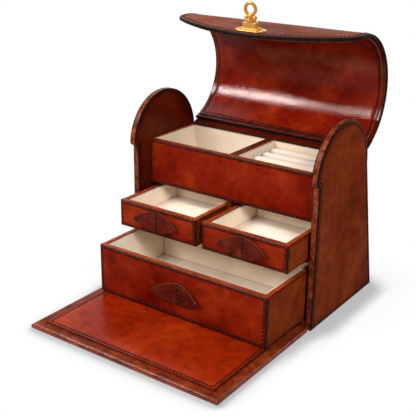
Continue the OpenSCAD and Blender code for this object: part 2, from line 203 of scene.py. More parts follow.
def polished_leather(name, tones, roughness, shine, edge_shade=0.5, edge_reach=4.0, crease=0.25,
                     cloud=15.0, wave=0.2, seam=4.1):
    material, tree, shader = start_material(name)
    vector = object_coordinates(tree)
    clouds = noise(tree, vector, cloud, detail=5.0, roughness=0.62, distortion=0.7)
    colour = ramp(tree, clouds, list(zip(TONE_STOPS, tones)))
    mottle = noise(tree, vector, MOTTLE, detail=4.0, roughness=0.6, distortion=0.3)
    shade = map_range(tree, mottle, NOISE_SPAN, MOTTLE_TONES)
    if edge_shade < 1:
        edge = tree.nodes.new("ShaderNodeAttribute")
        edge.attribute_name = "edge"
        wander = calculate(tree, "MULTIPLY", noise(tree, vector, WANDER, detail=2.0), edge_reach * 0.5)
        inwards = calculate(tree, "SUBTRACT", edge.outputs["Fac"], wander)
        deepened = map_range(tree, inwards, (-1.0, edge_reach), (edge_shade, 1.0))
        shade = calculate(tree, "MULTIPLY", shade, deepened)
        # Painted shade: a darker band along the sunk line of the seam.
        if seam:
            from_seam = calculate(tree, "SUBTRACT", edge.outputs["Fac"], seam)
            from_seam = calculate(tree, "ABSOLUTE", from_seam, 0.0)
            shade = calculate(tree, "MULTIPLY", shade, map_range(tree, from_seam, SEAM_REACH, SEAM_SHADE_TONES))
    tree.links.new(shade_colour(tree, colour, shade), shader.inputs["Base Color"])
    wax = noise(tree, vector, WAX, detail=4.0, roughness=0.6)
    gloss = map_range(tree, wax, NOISE_SPAN, (roughness - 0.06, roughness + 0.1))
    tree.links.new(gloss, shader.inputs["Roughness"])
    shader.inputs["Specular IOR Level"].default_value = shine
    shader.inputs["Specular Tint"].default_value = WARM_GLOSS
    waves = bump(tree, noise(tree, vector, WAVES, detail=2.0), wave, distance=0.004)
    grain = noise(tree, vector, GRAIN, detail=5.0, roughness=0.65, distortion=0.4)
    grain = bump(tree, grain, crease, distance=0.0005, below=waves)
    fine = bump(tree, pores(tree, vector, PORES), 0.12, distance=0.0002, below=grain)
    tree.links.new(fine, shader.inputs["Normal"])
    return material


# %% [markdown]
# The box is covered with one kind of hide, yet hardly two of its surfaces look alike: the fronts are waxed
# and red, the sides dull and brown, the lid shines like a mirror, and the bands round the edges are
# mottled. A table keeps all of these side by side, with the dark, middle and light tone of each and what
# sets it apart.

# %% The leathers of this box
LEATHERS = {
    "front": dict(tones=[(0.07, 0.002, 0.0005), (0.132, 0.006, 0.001), (0.205, 0.019, 0.003)],
                  roughness=0.28, shine=0.05, seam=3.2),
    "flap": dict(tones=[(0.15, 0.007, 0.0005), (0.21, 0.013, 0.001), (0.28, 0.03, 0.003)],
                 roughness=0.22, shine=0.1, edge_shade=0.7, edge_reach=5.0, crease=0.2, cloud=11.0),
    "side": dict(tones=[(0.078, 0.0095, 0.0016), (0.12, 0.0165, 0.0032), (0.17, 0.03, 0.0065)],
                 roughness=0.5, shine=0.012),
    "wall": dict(tones=[(0.08, 0.0095, 0.0016), (0.122, 0.0165, 0.0032), (0.172, 0.03, 0.0065)],
                 roughness=0.5, shine=0.012, seam=None),
    "edge band": dict(tones=[(0.028, 0.003, 0.001), (0.115, 0.018, 0.005), (0.25, 0.055, 0.02)],
                      roughness=0.26, shine=0.14, edge_shade=1.0, crease=0.8, cloud=120.0),
    "rim": dict(tones=[(0.17, 0.016, 0.003), (0.27, 0.035, 0.007), (0.37, 0.065, 0.014)],
                roughness=0.35, shine=0.1, edge_shade=1.0, crease=0.6, cloud=60.0),
    "flap edge": dict(tones=[(0.05, 0.005, 0.001), (0.12, 0.015, 0.003), (0.22, 0.04, 0.01)],
                      roughness=0.16, shine=0.9, edge_shade=1.0, crease=0.01, cloud=50.0, wave=0.0),
    "flap margin": dict(tones=[(0.06, 0.006, 0.001), (0.14, 0.018, 0.004), (0.23, 0.042, 0.01)],
                        roughness=0.3, shine=0.08, edge_shade=1.0, crease=0.6, cloud=50.0),
    "lid": dict(tones=[(0.08, 0.002, 0.0005), (0.13, 0.005, 0.001), (0.21, 0.018, 0.003)],
                roughness=0.08, shine=0.62, edge_shade=0.6, edge_reach=5.0, crease=0.45, cloud=17.0,
                wave=0.16, seam=3.2),
    "lid back": dict(tones=[(0.1, 0.015, 0.004), (0.15, 0.026, 0.007), (0.21, 0.042, 0.012)],
                     roughness=0.45, shine=0.065, seam=5.2),
    "pull": dict(tones=[(0.032, 0.003, 0.0015), (0.065, 0.006, 0.003), (0.1, 0.013, 0.006)],
                 roughness=0.42, shine=0.08, edge_shade=0.8, edge_reach=2.0, crease=0.5, cloud=70.0,
                 seam=None),
    # The box's leather made darker for inner faces and hinge strips: painted shade.
    "inside": dict(tones=[(0.03, 0.0018, 0.0004), (0.058, 0.004, 0.0008), (0.095, 0.01, 0.002)],
                   roughness=0.3, shine=0.06),
    "plain": dict(tones=[(0.06, 0.006, 0.002), (0.11, 0.014, 0.004), (0.16, 0.025, 0.008)],
                  roughness=0.45, shine=0.1, edge_shade=1.0),
}
leather = {name: polished_leather(name + " leather", **values) for name, values in LEATHERS.items()}
print("leathers", len(leather))

# %% [markdown]
# Most cut edges of such leather are dyed black. The upper edges of the fronts are only burnished, so they
# stay brown and shine, and the inner leather of the lid keeps a raw, tan edge. All are narrow, so a little
# noise in colour and gloss is enough. The waxed thread takes the same kind of finish.


# %% Edges and thread
EDGE_RELIEF = 0.0003


def plain_finish(name, dark, light, clouds, roughness, grain, shine):
    material, tree, shader = start_material(name)
    vector = object_coordinates(tree)
    cloud = noise(tree, vector, clouds, detail=4.0, roughness=0.6)
    colour = ramp(tree, cloud, list(zip(NOISE_SPAN, (dark, light))))
    tree.links.new(colour, shader.inputs["Base Color"])
    gloss = map_range(tree, cloud, NOISE_SPAN, (roughness - 0.05, roughness + 0.08))
    tree.links.new(gloss, shader.inputs["Roughness"])
    shader.inputs["Specular IOR Level"].default_value = shine
    relief = bump(tree, noise(tree, vector, grain), 0.4, distance=EDGE_RELIEF)
    tree.links.new(relief, shader.inputs["Normal"])
    return material


edge_paint = plain_finish("edge paint", dark=(0.005, 0.003, 0.002), light=(0.013, 0.006, 0.004),
                          clouds=120, roughness=0.27, grain=700, shine=0.1)
pull_edge = plain_finish("pull edge", dark=(0.04, 0.009, 0.004), light=(0.1, 0.027, 0.012),
                         clouds=300, roughness=0.5, grain=900, shine=0.15)
burnished = plain_finish("burnished edge", dark=(0.03, 0.006, 0.002), light=(0.085, 0.017, 0.006),
                         clouds=160, roughness=0.25, grain=700, shine=0.25)
raw_edge = plain_finish("raw edge", dark=(0.06, 0.018, 0.005), light=(0.14, 0.052, 0.015),
                        clouds=240, roughness=0.6, grain=900, shine=0.2)
thread = plain_finish("waxed thread", dark=(0.002, 0.0015, 0.0015), light=(0.008, 0.006, 0.005),
                      clouds=400, roughness=0.35, grain=1500, shine=0.26)
print("edge finishes", [m.name for m in (edge_paint, pull_edge, burnished, raw_edge, thread)])

# %% [markdown]
# Suede has no gloss: its nap scatters the light, so it is rough with a little sheen. Hair particles could
# make the nap, but at this size it is finer than a pixel, so noise and a fine bump do. Where the attribute
# "edge" is small, in the corners and in the grooves between the ring rolls, the finish paints shade. The
# box's one suede comes in three copies: the lightest for the drawers, and copies painted darker for the tray
# and the rolls, to even out how much light reaches each.


# %% Suede
CREASE_REACH = (0.2, 1.6)
NAP, FIBRE, SOFT, FINE = 26, 900, 90, 1200
FIBRE_TONES = (0.93, 1.05)


def suede_finish(name, dark, light, crease_shade_tone=0.62):
    material, tree, shader = start_material(name)
    vector = object_coordinates(tree)
    nap = noise(tree, vector, NAP, detail=4.0, roughness=0.6, distortion=0.5)
    colour = ramp(tree, nap, list(zip(NOISE_SPAN, (dark, light))))
    fibre = noise(tree, vector, FIBRE, detail=4.0, roughness=0.7)
    # Painted shade where the attribute "edge" is small: along panel outlines and down in the rolls' grooves.
    edge = tree.nodes.new("ShaderNodeAttribute")
    edge.attribute_name = "edge"
    crease = map_range(tree, edge.outputs["Fac"], CREASE_REACH, (crease_shade_tone, 1.0))
    shade = calculate(tree, "MULTIPLY", map_range(tree, fibre, NOISE_SPAN, FIBRE_TONES), crease)
    tree.links.new(shade_colour(tree, colour, shade), shader.inputs["Base Color"])
    shader.inputs["Roughness"].default_value = 0.95
    shader.inputs["Specular IOR Level"].default_value = 0.15
    shader.inputs["Sheen Weight"].default_value = 0.25
    shader.inputs["Sheen Roughness"].default_value = 0.6
    soft = bump(tree, noise(tree, vector, SOFT), 0.15, distance=0.001)
    fine = bump(tree, noise(tree, vector, FINE, detail=4.0, roughness=0.7), 0.35, distance=0.0003, below=soft)
    tree.links.new(fine, shader.inputs["Normal"])
    return material


# Three copies of one suede: the lightest in the drawers, painted darker in the tray and on the rolls.
suede = suede_finish("cream suede", dark=(0.82, 0.66, 0.5), light=(0.89, 0.75, 0.59))
tray_suede_painted_darker = suede_finish("tray suede painted darker", dark=(0.66, 0.52, 0.38), light=(0.73, 0.59, 0.45))
roll_suede_painted_darker = suede_finish("roll suede painted darker", dark=(0.71, 0.58, 0.45), light=(0.78, 0.65, 0.52), crease_shade_tone=0.38)
print("suedes", [m.name for m in (suede, tray_suede_painted_darker, roll_suede_painted_darker)])

# %% [markdown]
# The clasp is plated. Full metal would mirror mostly the dark side of the room in so small a part, so the
# plating is a little less than metallic, with a faint tarnish in its tone and gloss and fine scratches
# along one way.


# %% Gold
TARNISH, SCRATCHES, SCRATCH_STRETCH = 160, 900, (1, 8, 1)


def gold_finish(name):
    material, tree, shader = start_material(name)
    tarnish = noise(tree, object_coordinates(tree), TARNISH, detail=4.0, roughness=0.6)
    colour = ramp(tree, tarnish, [(0.25, (0.7, 0.3, 0.055)), (0.65, (0.92, 0.5, 0.13))])
    tree.links.new(colour, shader.inputs["Base Color"])
    shader.inputs["Metallic"].default_value = 0.72
    tree.links.new(map_range(tree, tarnish, NOISE_SPAN, (0.15, 0.22)), shader.inputs["Roughness"])
    scratches = noise(tree, object_coordinates(tree, SCRATCH_STRETCH), SCRATCHES)
    tree.links.new(bump(tree, scratches, 0.02, distance=0.0001), shader.inputs["Normal"])
    return material


gold = gold_finish("polished gold")
print("gold", gold.name)

# %% [markdown]
# ## One builder for every board
# Each part of the box is a board wrapped in leather: a flat outline, a round or painted edge, a sunk line
# where the thread runs, and a face that swells a little between the seams. A box with a bevel has none of
# that. So one function takes the outline and a list of rings, each ring set in from the outline by some
# distance and lying at some height, and fills the middle with a triangulated grid. A ring also gives the
# number of its finish in the piece's list of finishes, one for all sides or one for each. A last function
# says where the flat outline goes in space. The same builder then makes the flat fronts, the arched sides
# and the curved lid.


# %% Measuring outlines
SHARPEST = 0.4


def inset_outline(outline, distance):
    towards = outline - np.roll(outline, 1, 0)
    away = np.roll(outline, -1, 0) - outline
    normals = []
    for run in (towards, away):
        run = run / np.linalg.norm(run, axis=1)[:, None]
        normals.append(np.stack([-run[:, 1], run[:, 0]], 1))
    middle = normals[0] + normals[1]
    middle /= np.linalg.norm(middle, axis=1)[:, None]
    cosine = np.maximum((middle * normals[0]).sum(1), SHARPEST)
    return outline + middle * (distance / cosine)[:, None]


def distance_to(outline, points):
    start, run = outline, np.roll(outline, -1, 0) - outline
    length = (run * run).sum(1)
    nearest = np.full(len(points), 1e9)
    for a, d, size in zip(start, run, length):
        t = np.clip(((points - a) @ d) / size, 0, 1)
        nearest = np.minimum(nearest, np.linalg.norm(points - a - t[:, None] * d, axis=1))
    return nearest


def is_inside(outline, points):
    crossed = np.zeros(len(points), bool)
    for a, b in zip(outline, np.roll(outline, -1, 0)):
        spans = (a[1] > points[:, 1]) != (b[1] > points[:, 1])
        rise = b[1] - a[1] if b[1] != a[1] else 1e-9
        crossed ^= spans & (points[:, 0] < a[0] + (points[:, 1] - a[1]) * (b[0] - a[0]) / rise)
    return crossed


# %% Drawing outlines
def rectangle(low, high):
    return np.array([(low[0], low[1]), (high[0], low[1]), (high[0], high[1]), (low[0], high[1])], float)


def stepped(a, b, step):
    count = max(1, round(float(np.linalg.norm(b - a)) / step))
    return [a + (b - a) * i / count for i in range(count)]


def divided(corners, step):
    return np.vstack([stepped(a, b, step) for a, b in zip(corners, np.roll(corners, -1, 0))])


def arc(middle, radius, from_angle, to_angle, count):
    angles = np.radians(np.linspace(from_angle, to_angle, count))
    return np.stack([middle[0] + radius * np.cos(angles), middle[1] + radius * np.sin(angles)], 1)


# %% Rings of a face
LEVEL_RIM = 0.4


def rounded_edge(half, radius, finish, steps=4):
    angles = [math.pi / 2 * i / steps for i in range(steps + 1)]
    return [(radius * (1 - math.cos(a)), half - radius * (1 - math.sin(a)), finish) for a in angles]


def plain_face(half, radius, edge_finish, face_finish):
    rings = rounded_edge(half, radius, edge_finish)
    rings[-1] = (*rings[-1][:2], face_finish)
    return rings + [(radius + LEVEL_RIM, half, face_finish)]


SEAM_WIDTH, SEAM_DEPTH = 1.0, 0.35
SEAM_PROFILE = ((-1, 0), (-0.45, 0.7), (0, 1), (0.45, 0.7), (1, 0))


def sewn_face(half, radius, seam, edge_finish, face_finish):
    rings = plain_face(half, radius, edge_finish, face_finish)
    for share, depth in SEAM_PROFILE:
        rings.append((seam + share * SEAM_WIDTH, half - depth * SEAM_DEPTH, face_finish))
    return rings


# %% Filling the middle of a face
CLEAR_OF_EDGE = 0.35


def fill_middle(loop, cell):
    low, high = loop.min(0), loop.max(0)
    counts = [max(2, int(round((high[i] - low[i]) / cell)) + 1) for i in (0, 1)]
    lines = [np.linspace(low[i], high[i], counts[i]) for i in (0, 1)]
    grid = np.stack(np.meshgrid(*lines), -1).reshape(-1, 2)
    grid = grid[is_inside(loop, grid)]
    grid = grid[distance_to(loop, grid) > CLEAR_OF_EDGE * cell] if len(grid) else grid
    points = [Vector(p) for p in loop] + [Vector(p) for p in grid]
    edges = [(i, (i + 1) % len(loop)) for i in range(len(loop))]
    _, _, faces, origins, _, _ = delaunay_2d_cdt(points, edges, [], 1, 1e-6)
    return grid, faces, [o[0] for o in origins]


# %% The board builder
CROWN_REACH = 14.0


def board(outline, upper, lower, place, cell=8.0, crown=0.25, rim_finish=0):
    points, edge_distance, faces, finishes = [], [], [], []
    count = len(outline)

    def add_ring(inset, height):
        loop = inset_outline(outline, inset) if inset else outline
        points.extend(place(u, v, height) for u, v in loop)
        edge_distance.extend([inset] * count)
        return len(points) - count

    def add_strip(first, second, finish):
        for i in range(count):
            j = (i + 1) % count
            faces.append((first + i, first + j, second + j, second + i))
            finishes.append(finish if isinstance(finish, int) else finish[i])

    starts = []
    for rings, sign in ((upper, 1), (lower, -1)):
        previous = None
        for inset, height, finish in rings:
            start = add_ring(inset, sign * height)
            if previous is None:
                starts.append(start)
            else:
                add_strip(previous[0], start, previous[1])
            previous = (start, finish)
        inset, height, finish = rings[-1]
        loop = inset_outline(outline, inset)
        grid, triangles, origins = fill_middle(loop, cell)
        reach = distance_to(outline, grid) if len(grid) else []
        base = len(points)
        for (u, v), d in zip(grid, reach):
            swell = crown * (1 - math.exp(-(d - inset) / CROWN_REACH))
            points.append(place(u, v, sign * (height + swell)))
        edge_distance.extend(reach)
        for triangle in triangles:
            named = [origins[k] for k in triangle]
            faces.append(tuple(previous[0] + k if k < count else base + k - count for k in named))
            finishes.append(finish)
    add_strip(starts[0], starts[1], rim_finish)
    return points, faces, finishes, edge_distance


# %% Turning boards into a piece that rides on a body
SHARP_ANGLE = math.radians(35)
scene = bpy.context.scene


def add_object(name, mesh):
    piece = bpy.data.objects.new(name, mesh)
    scene.collection.objects.link(piece)
    return piece


def face_outwards(mesh):
    work = bmesh.new()
    work.from_mesh(mesh)
    bmesh.ops.recalc_face_normals(work, faces=work.faces)
    work.to_mesh(mesh)
    work.free()


def piece_mesh(name, boards, finishes):
    points, faces, slots, edges = [], [], [], []
    for board_points, board_faces, board_finishes, board_edges in boards:
        base = len(points)
        points += [tuple(p) for p in board_points]
        faces += [tuple(base + i for i in face) for face in board_faces]
        slots += board_finishes
        edges += list(board_edges)
    mesh = bpy.data.meshes.new(name)
    mesh.from_pydata(points, [], faces)
    for finish in finishes:
        mesh.materials.append(finish)
    mesh.polygons.foreach_set("material_index", slots)
    mesh.attributes.new("edge", "FLOAT", "POINT").data.foreach_set("value", edges)
    face_outwards(mesh)
    mesh.shade_smooth()
    mesh.set_sharp_from_angle(angle=SHARP_ANGLE)
    return mesh


def make_piece(name, boards, finishes, body, slot, *nodes):
    piece = add_object(name, piece_mesh(name, boards, finishes))
    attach(piece, body)
    if nodes:
        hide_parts(*nodes)
    return piece


# %% Places on the box, in millimetres from the foot of its front
MM = 0.001
FRONT_PLANE = -72.0


def at(x, y, z):
    return Vector((x, y + FRONT_PLANE, z)) * MM


# %% [markdown]
# ## Seams
# A seam is a run of saddle stitches that follows the outline of a board, a few millimetres in. The runs are
# only collected here, as points with the direction that faces out of the leather. A node tree sews them
# later, all seams of one body together.

# %% Collect the runs of a seam
STITCH_PITCH, THREAD_LIFT = 4.3, 0.2
seams = {body: [] for body in frame["bodies"]}


def sewn_runs(loop, sharp=25.0):
    towards = loop - np.roll(loop, 1, 0)
    away = np.roll(loop, -1, 0) - loop
    crossed = towards[:, 0] * away[:, 1] - towards[:, 1] * away[:, 0]
    turn = np.arctan2(crossed, (towards * away).sum(1))
    corners = [i for i, t in enumerate(turn) if abs(math.degrees(t)) > sharp]
    if not corners:
        return [np.vstack([loop, loop[:1]])]
    count = len(loop)
    runs = []
    for a, b in zip(corners, corners[1:] + [corners[0] + count]):
        runs.append(np.array([loop[i % count] for i in range(a, b + 1)]))
    return runs


def shortened(run, cut):
    steps = np.linalg.norm(np.diff(run, axis=0), axis=1)
    along = np.concatenate([[0], np.cumsum(steps)])
    if along[-1] < 2.5 * cut:
        return None
    last = along[-1] - cut
    wanted = np.concatenate([[cut], along[(along > cut) & (along < last)], [last]])
    return np.stack([np.interp(wanted, along, run[:, i]) for i in (0, 1)], 1)


def sew_run(body, run, height, place):
    lift = math.copysign(THREAD_LIFT, height)
    spots = [place(u, v, height + lift) for u, v in run]
    ups = [(spot - place(u, v, height)).normalized() for (u, v), spot in zip(run, spots)]
    seams[body].append((spots, ups))


def sew(body, outline, inset, height, place):
    for run in sewn_runs(inset_outline(outline, inset)):
        run = shortened(run, STITCH_PITCH / 2)
        if run is not None:
            sew_run(body, run, height, place)


print("bodies that can be sewn", list(seams))

# %% [markdown]
# ## Side panels
# Each side is one board with an arched top that stands a little forward over the closed flap. Its edge is a
# leather band between two black painted lines. A block cut by a cylinder would give the arch too, but no
# even seam along it. So the outline is drawn once, in depth and height, with the forward foot of the arch
# rounded, and the edge, the painted lines and the seam all follow it.

# %% Outline of a side panel
BASE_DEPTH, SHOULDER = 144.0, 160.0
ARCH_RADIUS, ARCH_MIDDLE, FOOT_ROUND = 56.5, 50.5, 5.6


def side_outline():
    inner = ARCH_RADIUS - FOOT_ROUND
    lean = 180 - math.degrees(math.asin(FOOT_ROUND / inner))
    foot_middle = ARCH_MIDDLE - math.sqrt(inner ** 2 - FOOT_ROUND ** 2)
    arch = arc((ARCH_MIDDLE, SHOULDER), ARCH_RADIUS, 0, lean, 64)
    foot = arc((foot_middle, SHOULDER + FOOT_ROUND), FOOT_ROUND, lean, 270, 9)[1:]
    body_line = [(0, SHOULDER), (0, 0), (BASE_DEPTH, 0)]
    return np.vstack([arch, foot, body_line])


# %% Make both side panels
HALF_WIDTH, SIDE_HALF = 120.0, 4.25
SIDE_MIDDLE = HALF_WIDTH - SIDE_HALF
SIDE_SEAM, SIDE_EDGE = 4.2, 1.5
outline = side_outline()
for name, side in (("left_side", -1), ("right_side", 1)):
    def place(u, v, h, side=side):
        return at(side * (SIDE_MIDDLE + h), u, v)

    outer = sewn_face(SIDE_HALF, SIDE_EDGE, SIDE_SEAM, 1, 2)
    inner = sewn_face(SIDE_HALF, SIDE_EDGE, SIDE_SEAM, 1, 3)
    panel = board(outline, outer, inner, place, cell=9.0, crown=0.3)
    # The inner face takes the inside leather, painted darker as shade.
    finishes = [leather["edge band"], edge_paint, leather["side"], leather["inside"]]
    make_piece(name, [panel], finishes, "carcass", "leather", name + "_panel")
    for height in (SIDE_HALF - SEAM_DEPTH, -SIDE_HALF + SEAM_DEPTH):
        sew("carcass", outline, SIDE_SEAM, height, place)
print("side panel outline points", len(outline))

# %% [markdown]
# ## Boards of the carcass
# The front of the top tray, the divider, the end boards and the leaning back panel are plain boards. The
# front and the back show seams all round, and the upper edges that fingers pass are burnished. For each
# board a short function turns its flat outline to where it stands, so that one builder serves boards that
# face any way.

# %% Placing boards
def node_corners(node):
    return [v / MM - Vector((0, FRONT_PLANE, 0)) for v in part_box(node)]


def facing_front(node):
    low, high = node_corners(node)
    middle = (low.y + high.y) / 2

    def place(u, v, h):
        return at(u, middle - h, v)
    return rectangle((low.x, low.z), (high.x, high.z)), (high.y - low.y) / 2, place


def facing_side(node, side):
    low, high = node_corners(node)
    middle = (low.x + high.x) / 2

    def place(u, v, h):
        return at(middle + side * h, u, v)
    return rectangle((low.y, low.z), (high.y, high.z)), (high.x - low.x) / 2, place


# %% Tray front
TRAY_SEAM, FRONT_EDGE, TRAY_INNER_EDGE = 3.2, 1.4, 1.1
outline, half, place = facing_front("tray_front")
outer = sewn_face(half, FRONT_EDGE, TRAY_SEAM, [1, 1, 3, 1], 0)
inner = plain_face(half, TRAY_INNER_EDGE, 1, 0)
tray_board = board(outline, outer, inner, place, cell=9.0, crown=0.35, rim_finish=2)
make_piece("tray_front_board", [tray_board], [leather["front"], edge_paint, leather["rim"], burnished],
           "carcass", "leather", "tray_front")
sew("carcass", outline, TRAY_SEAM, half - SEAM_DEPTH, place)
print("tray front is", round(2 * half, 2), "mm thick")

# %% Divider and ends of the tray
TRAY_RIMS = {"tray_divider": 1, "tray_left_end": -1, "tray_right_end": 1}
TRAY_MIDDLE, BEFORE_BACK, RIM_EDGE = 60, 10.8, 0.9
for node, side in TRAY_RIMS.items():
    outline, half, place = facing_side(node, side)
    outline[outline[:, 0] > TRAY_MIDDLE, 0] -= BEFORE_BACK
    rings = plain_face(half, RIM_EDGE, 1, 0)
    make_piece(node + "_board", [board(outline, rings, rings, place, cell=20.0, crown=0.0)],
               [burnished, leather["rim"]], "carcass", "leather", node)
print("tray rims", list(TRAY_RIMS))

# %% The leaning back panel
BACK_HALF_WIDTH, BACK_HEIGHT, BACK_THICKNESS, BACK_FOOT = 111.4, 166.0, 5.0, 1.2
BACK_SEAM, BACK_EDGE = 4.6, 1.0
BACK_SLOPE = (BASE_DEPTH - ARCH_MIDDLE - ARCH_RADIUS) / SHOULDER
back_length = math.hypot(1, BACK_SLOPE)


def on_back(u, v, h):
    depth = h - BACK_THICKNESS / 2 / back_length
    along, out = v / back_length, depth / back_length
    return at(u, BASE_DEPTH - BACK_SLOPE * along + out, along + BACK_SLOPE * out)


half = BACK_THICKNESS / 2 / back_length
outline = rectangle((-BACK_HALF_WIDTH, BACK_FOOT), (BACK_HALF_WIDTH, BACK_HEIGHT * back_length))
outer, inner = sewn_face(half, BACK_EDGE, BACK_SEAM, 1, 0), plain_face(half, BACK_EDGE, 1, 2)
back_board = board(outline, outer, inner, on_back, cell=10.0, crown=0.3)
# Its inner face takes the inside leather, painted darker as shade.
make_piece("back_board", [back_board], [leather["side"], edge_paint, leather["inside"]], "carcass", "leather",
           "back_panel")
sew("carcass", outline, BACK_SEAM, half - SEAM_DEPTH, on_back)
print("seam runs on the carcass", len(seams["carcass"]))

# %% [markdown]
# ## Drawers
# A drawer is four boards, a bottom and a suede tub. One hollow box would be simpler, but here every board
# has its own leather and its own edges. The front is sewn all round and carries the pull. The side walls
# are covered with a duller leather that wraps round the ends of the front, so the walls start just behind
# the front's face. Their rims show a paler line where the leather is turned in towards the lining.

# %% Drawer fronts
DRAWERS = {"large": "large_drawer", "left": "left_drawer", "right": "right_drawer"}
FRONT_SEAM, WALL_EDGE, WRAP = 3.2, 1.0, 0.3


def dress_front(name, body):
    outline, half, place = facing_front(name + "_front")
    outline[:, 0] += np.where(outline[:, 0] > outline[:, 0].mean(), -WRAP, WRAP)
    outer = sewn_face(half, FRONT_EDGE, FRONT_SEAM, [1, 1, 4, 1], 0)
    inner = plain_face(half, WALL_EDGE, 3, 0)
    front = board(outline, outer, inner, place, cell=8.0, crown=0.4, rim_finish=[3, 3, 2, 3])
    finishes = [leather["front"], edge_paint, leather["rim"], leather["wall"], burnished]
    make_piece(name + "_drawer_front", [front], finishes, body, "leather", name + "_front")
    sew(body, outline, FRONT_SEAM, half - SEAM_DEPTH, place)


# %% Drawer walls
BEHIND_FACE = 1.6


def dress_walls(name, body):
    wall_start = node_corners(name + "_front")[0].y + BEHIND_FACE
    for wall, side in (("left_wall", -1), ("right_wall", 1)):
        outline, half, place = facing_side(f"{name}_{wall}", side)
        outline[outline[:, 0] < outline[:, 0].mean(), 0] = wall_start
        outline[:, 1] -= WRAP / 2
        outer, inner = plain_face(half, WALL_EDGE, 2, 2), plain_face(half, WALL_EDGE, 3, 1)
        side_wall = board(outline, outer, inner, place, cell=12.0, crown=0.2, rim_finish=1)
        finishes = [edge_paint, leather["rim"], leather["wall"], raw_edge]
        make_piece(f"{name}_drawer_{wall}", [side_wall], finishes, body, "leather", f"{name}_{wall}")
    outline, half, place = facing_front(name + "_back")
    rings = plain_face(half, WALL_EDGE, 0, 1)
    back_wall = board(outline, rings, rings, place, cell=12.0, crown=0.1, rim_finish=1)
    finishes = [edge_paint, leather["rim"]]
    make_piece(name + "_drawer_back", [back_wall], finishes, body, "leather", name + "_back")


for name, body in DRAWERS.items():
    dress_front(name, body)
    dress_walls(name, body)

# %% [markdown]
# The suede tub of a drawer is five soft panels, glued in edge to edge. Each has a rounded border, so the
# corners show a fine dark line, as sewn suede does; the suede's finish adds painted shade along each panel's
# outline too. One box turned inside out would be quicker, but its corners would be knife sharp. The tray's
# tubs are made the same way, with a back wall that leans.


# %% Suede tubs
SUEDE, SUEDE_ABOVE, SUEDE_EDGE = 1.5, 1.6, 0.55
SUEDE_HALF = SUEDE / 2


def suede_tub(low, high, lean=0.0):
    soft = plain_face(SUEDE_HALF, SUEDE_EDGE, 0, 0)
    back_low = high[1] + lean * (high[2] - low[2])

    def lying(u, v, h):
        return at(u, v, low[2] + SUEDE_HALF + h)

    def front_wall(u, v, h):
        return at(u, low[1] + SUEDE_HALF + h, v)

    def back_wall(u, v, h):
        return at(u, back_low - lean * (v - low[2]) - SUEDE_HALF - h, v)

    def end_wall(side):
        x = low[0] + SUEDE_HALF if side < 0 else high[0] - SUEDE_HALF
        return lambda u, v, h: at(x - side * h, u, v)

    across = rectangle((low[0] + SUEDE, low[2] + SUEDE), (high[0] - SUEDE, high[2]))
    floor = rectangle((low[0], low[1]), (high[0], back_low))
    start, top = low[2] + SUEDE, high[2]
    end = np.array([(low[1], start), (back_low - lean * SUEDE, start), (high[1], top), (low[1], top)])
    panels = [(floor, lying), (across, front_wall), (across, back_wall),
              (end, end_wall(-1)), (end, end_wall(1))]
    return [board(outline, soft, soft, place, cell=10.0, crown=0.15) for outline, place in panels]


for name, body in DRAWERS.items():
    low, high = node_corners(name + "_lining")
    high.z += SUEDE_ABOVE
    make_piece(name + "_drawer_suede", suede_tub(low, high), [suede], body, "suede", name + "_lining")
for name in ("tray_left", "tray_right"):
    low, high = node_corners(name + "_lining")
    high.z += SUEDE_ABOVE
    high.y -= BACK_SLOPE * (high.z - low.z)
    tub = suede_tub(low, high, BACK_SLOPE)
    make_piece(name + "_suede", tub, [tray_suede_painted_darker], "carcass", "suede", name + "_lining")

# %% [markdown]
# ## Pulls
# A pull is a leaf of thin leather, sewn to the drawer by one upright seam at its middle. Its two wings rise
# off the front so that a finger gets behind them, more on the large drawer. A Simple Deform modifier would
# bend the leaf to one even arc, while these wings rise almost straight from the seam. So the leaf's outline
# is two arcs, and the board builder bends it: the further from the seam, the further off the front.

# %% Outline of the leaf
PULL_LENGTH, PULL_HEIGHT, PULL_THICKNESS = 60.0, 24.0, 1.6
leaf_radius = (PULL_LENGTH ** 2 + PULL_HEIGHT ** 2) / (4 * PULL_HEIGHT)
leaf_angle = math.degrees(math.asin(PULL_LENGTH / 2 / leaf_radius))
below_centre, above_centre = leaf_radius - PULL_HEIGHT / 2, PULL_HEIGHT / 2 - leaf_radius
leaf_lower = arc((0, below_centre), leaf_radius, 270 - leaf_angle, 270 + leaf_angle, 25)[:-1]
leaf_upper = arc((0, above_centre), leaf_radius, 90 - leaf_angle, 90 + leaf_angle, 25)[:-1]
leaf = np.vstack([leaf_lower, leaf_upper])
print("leaf", PULL_LENGTH, "by", PULL_HEIGHT, "mm, outline points", len(leaf))

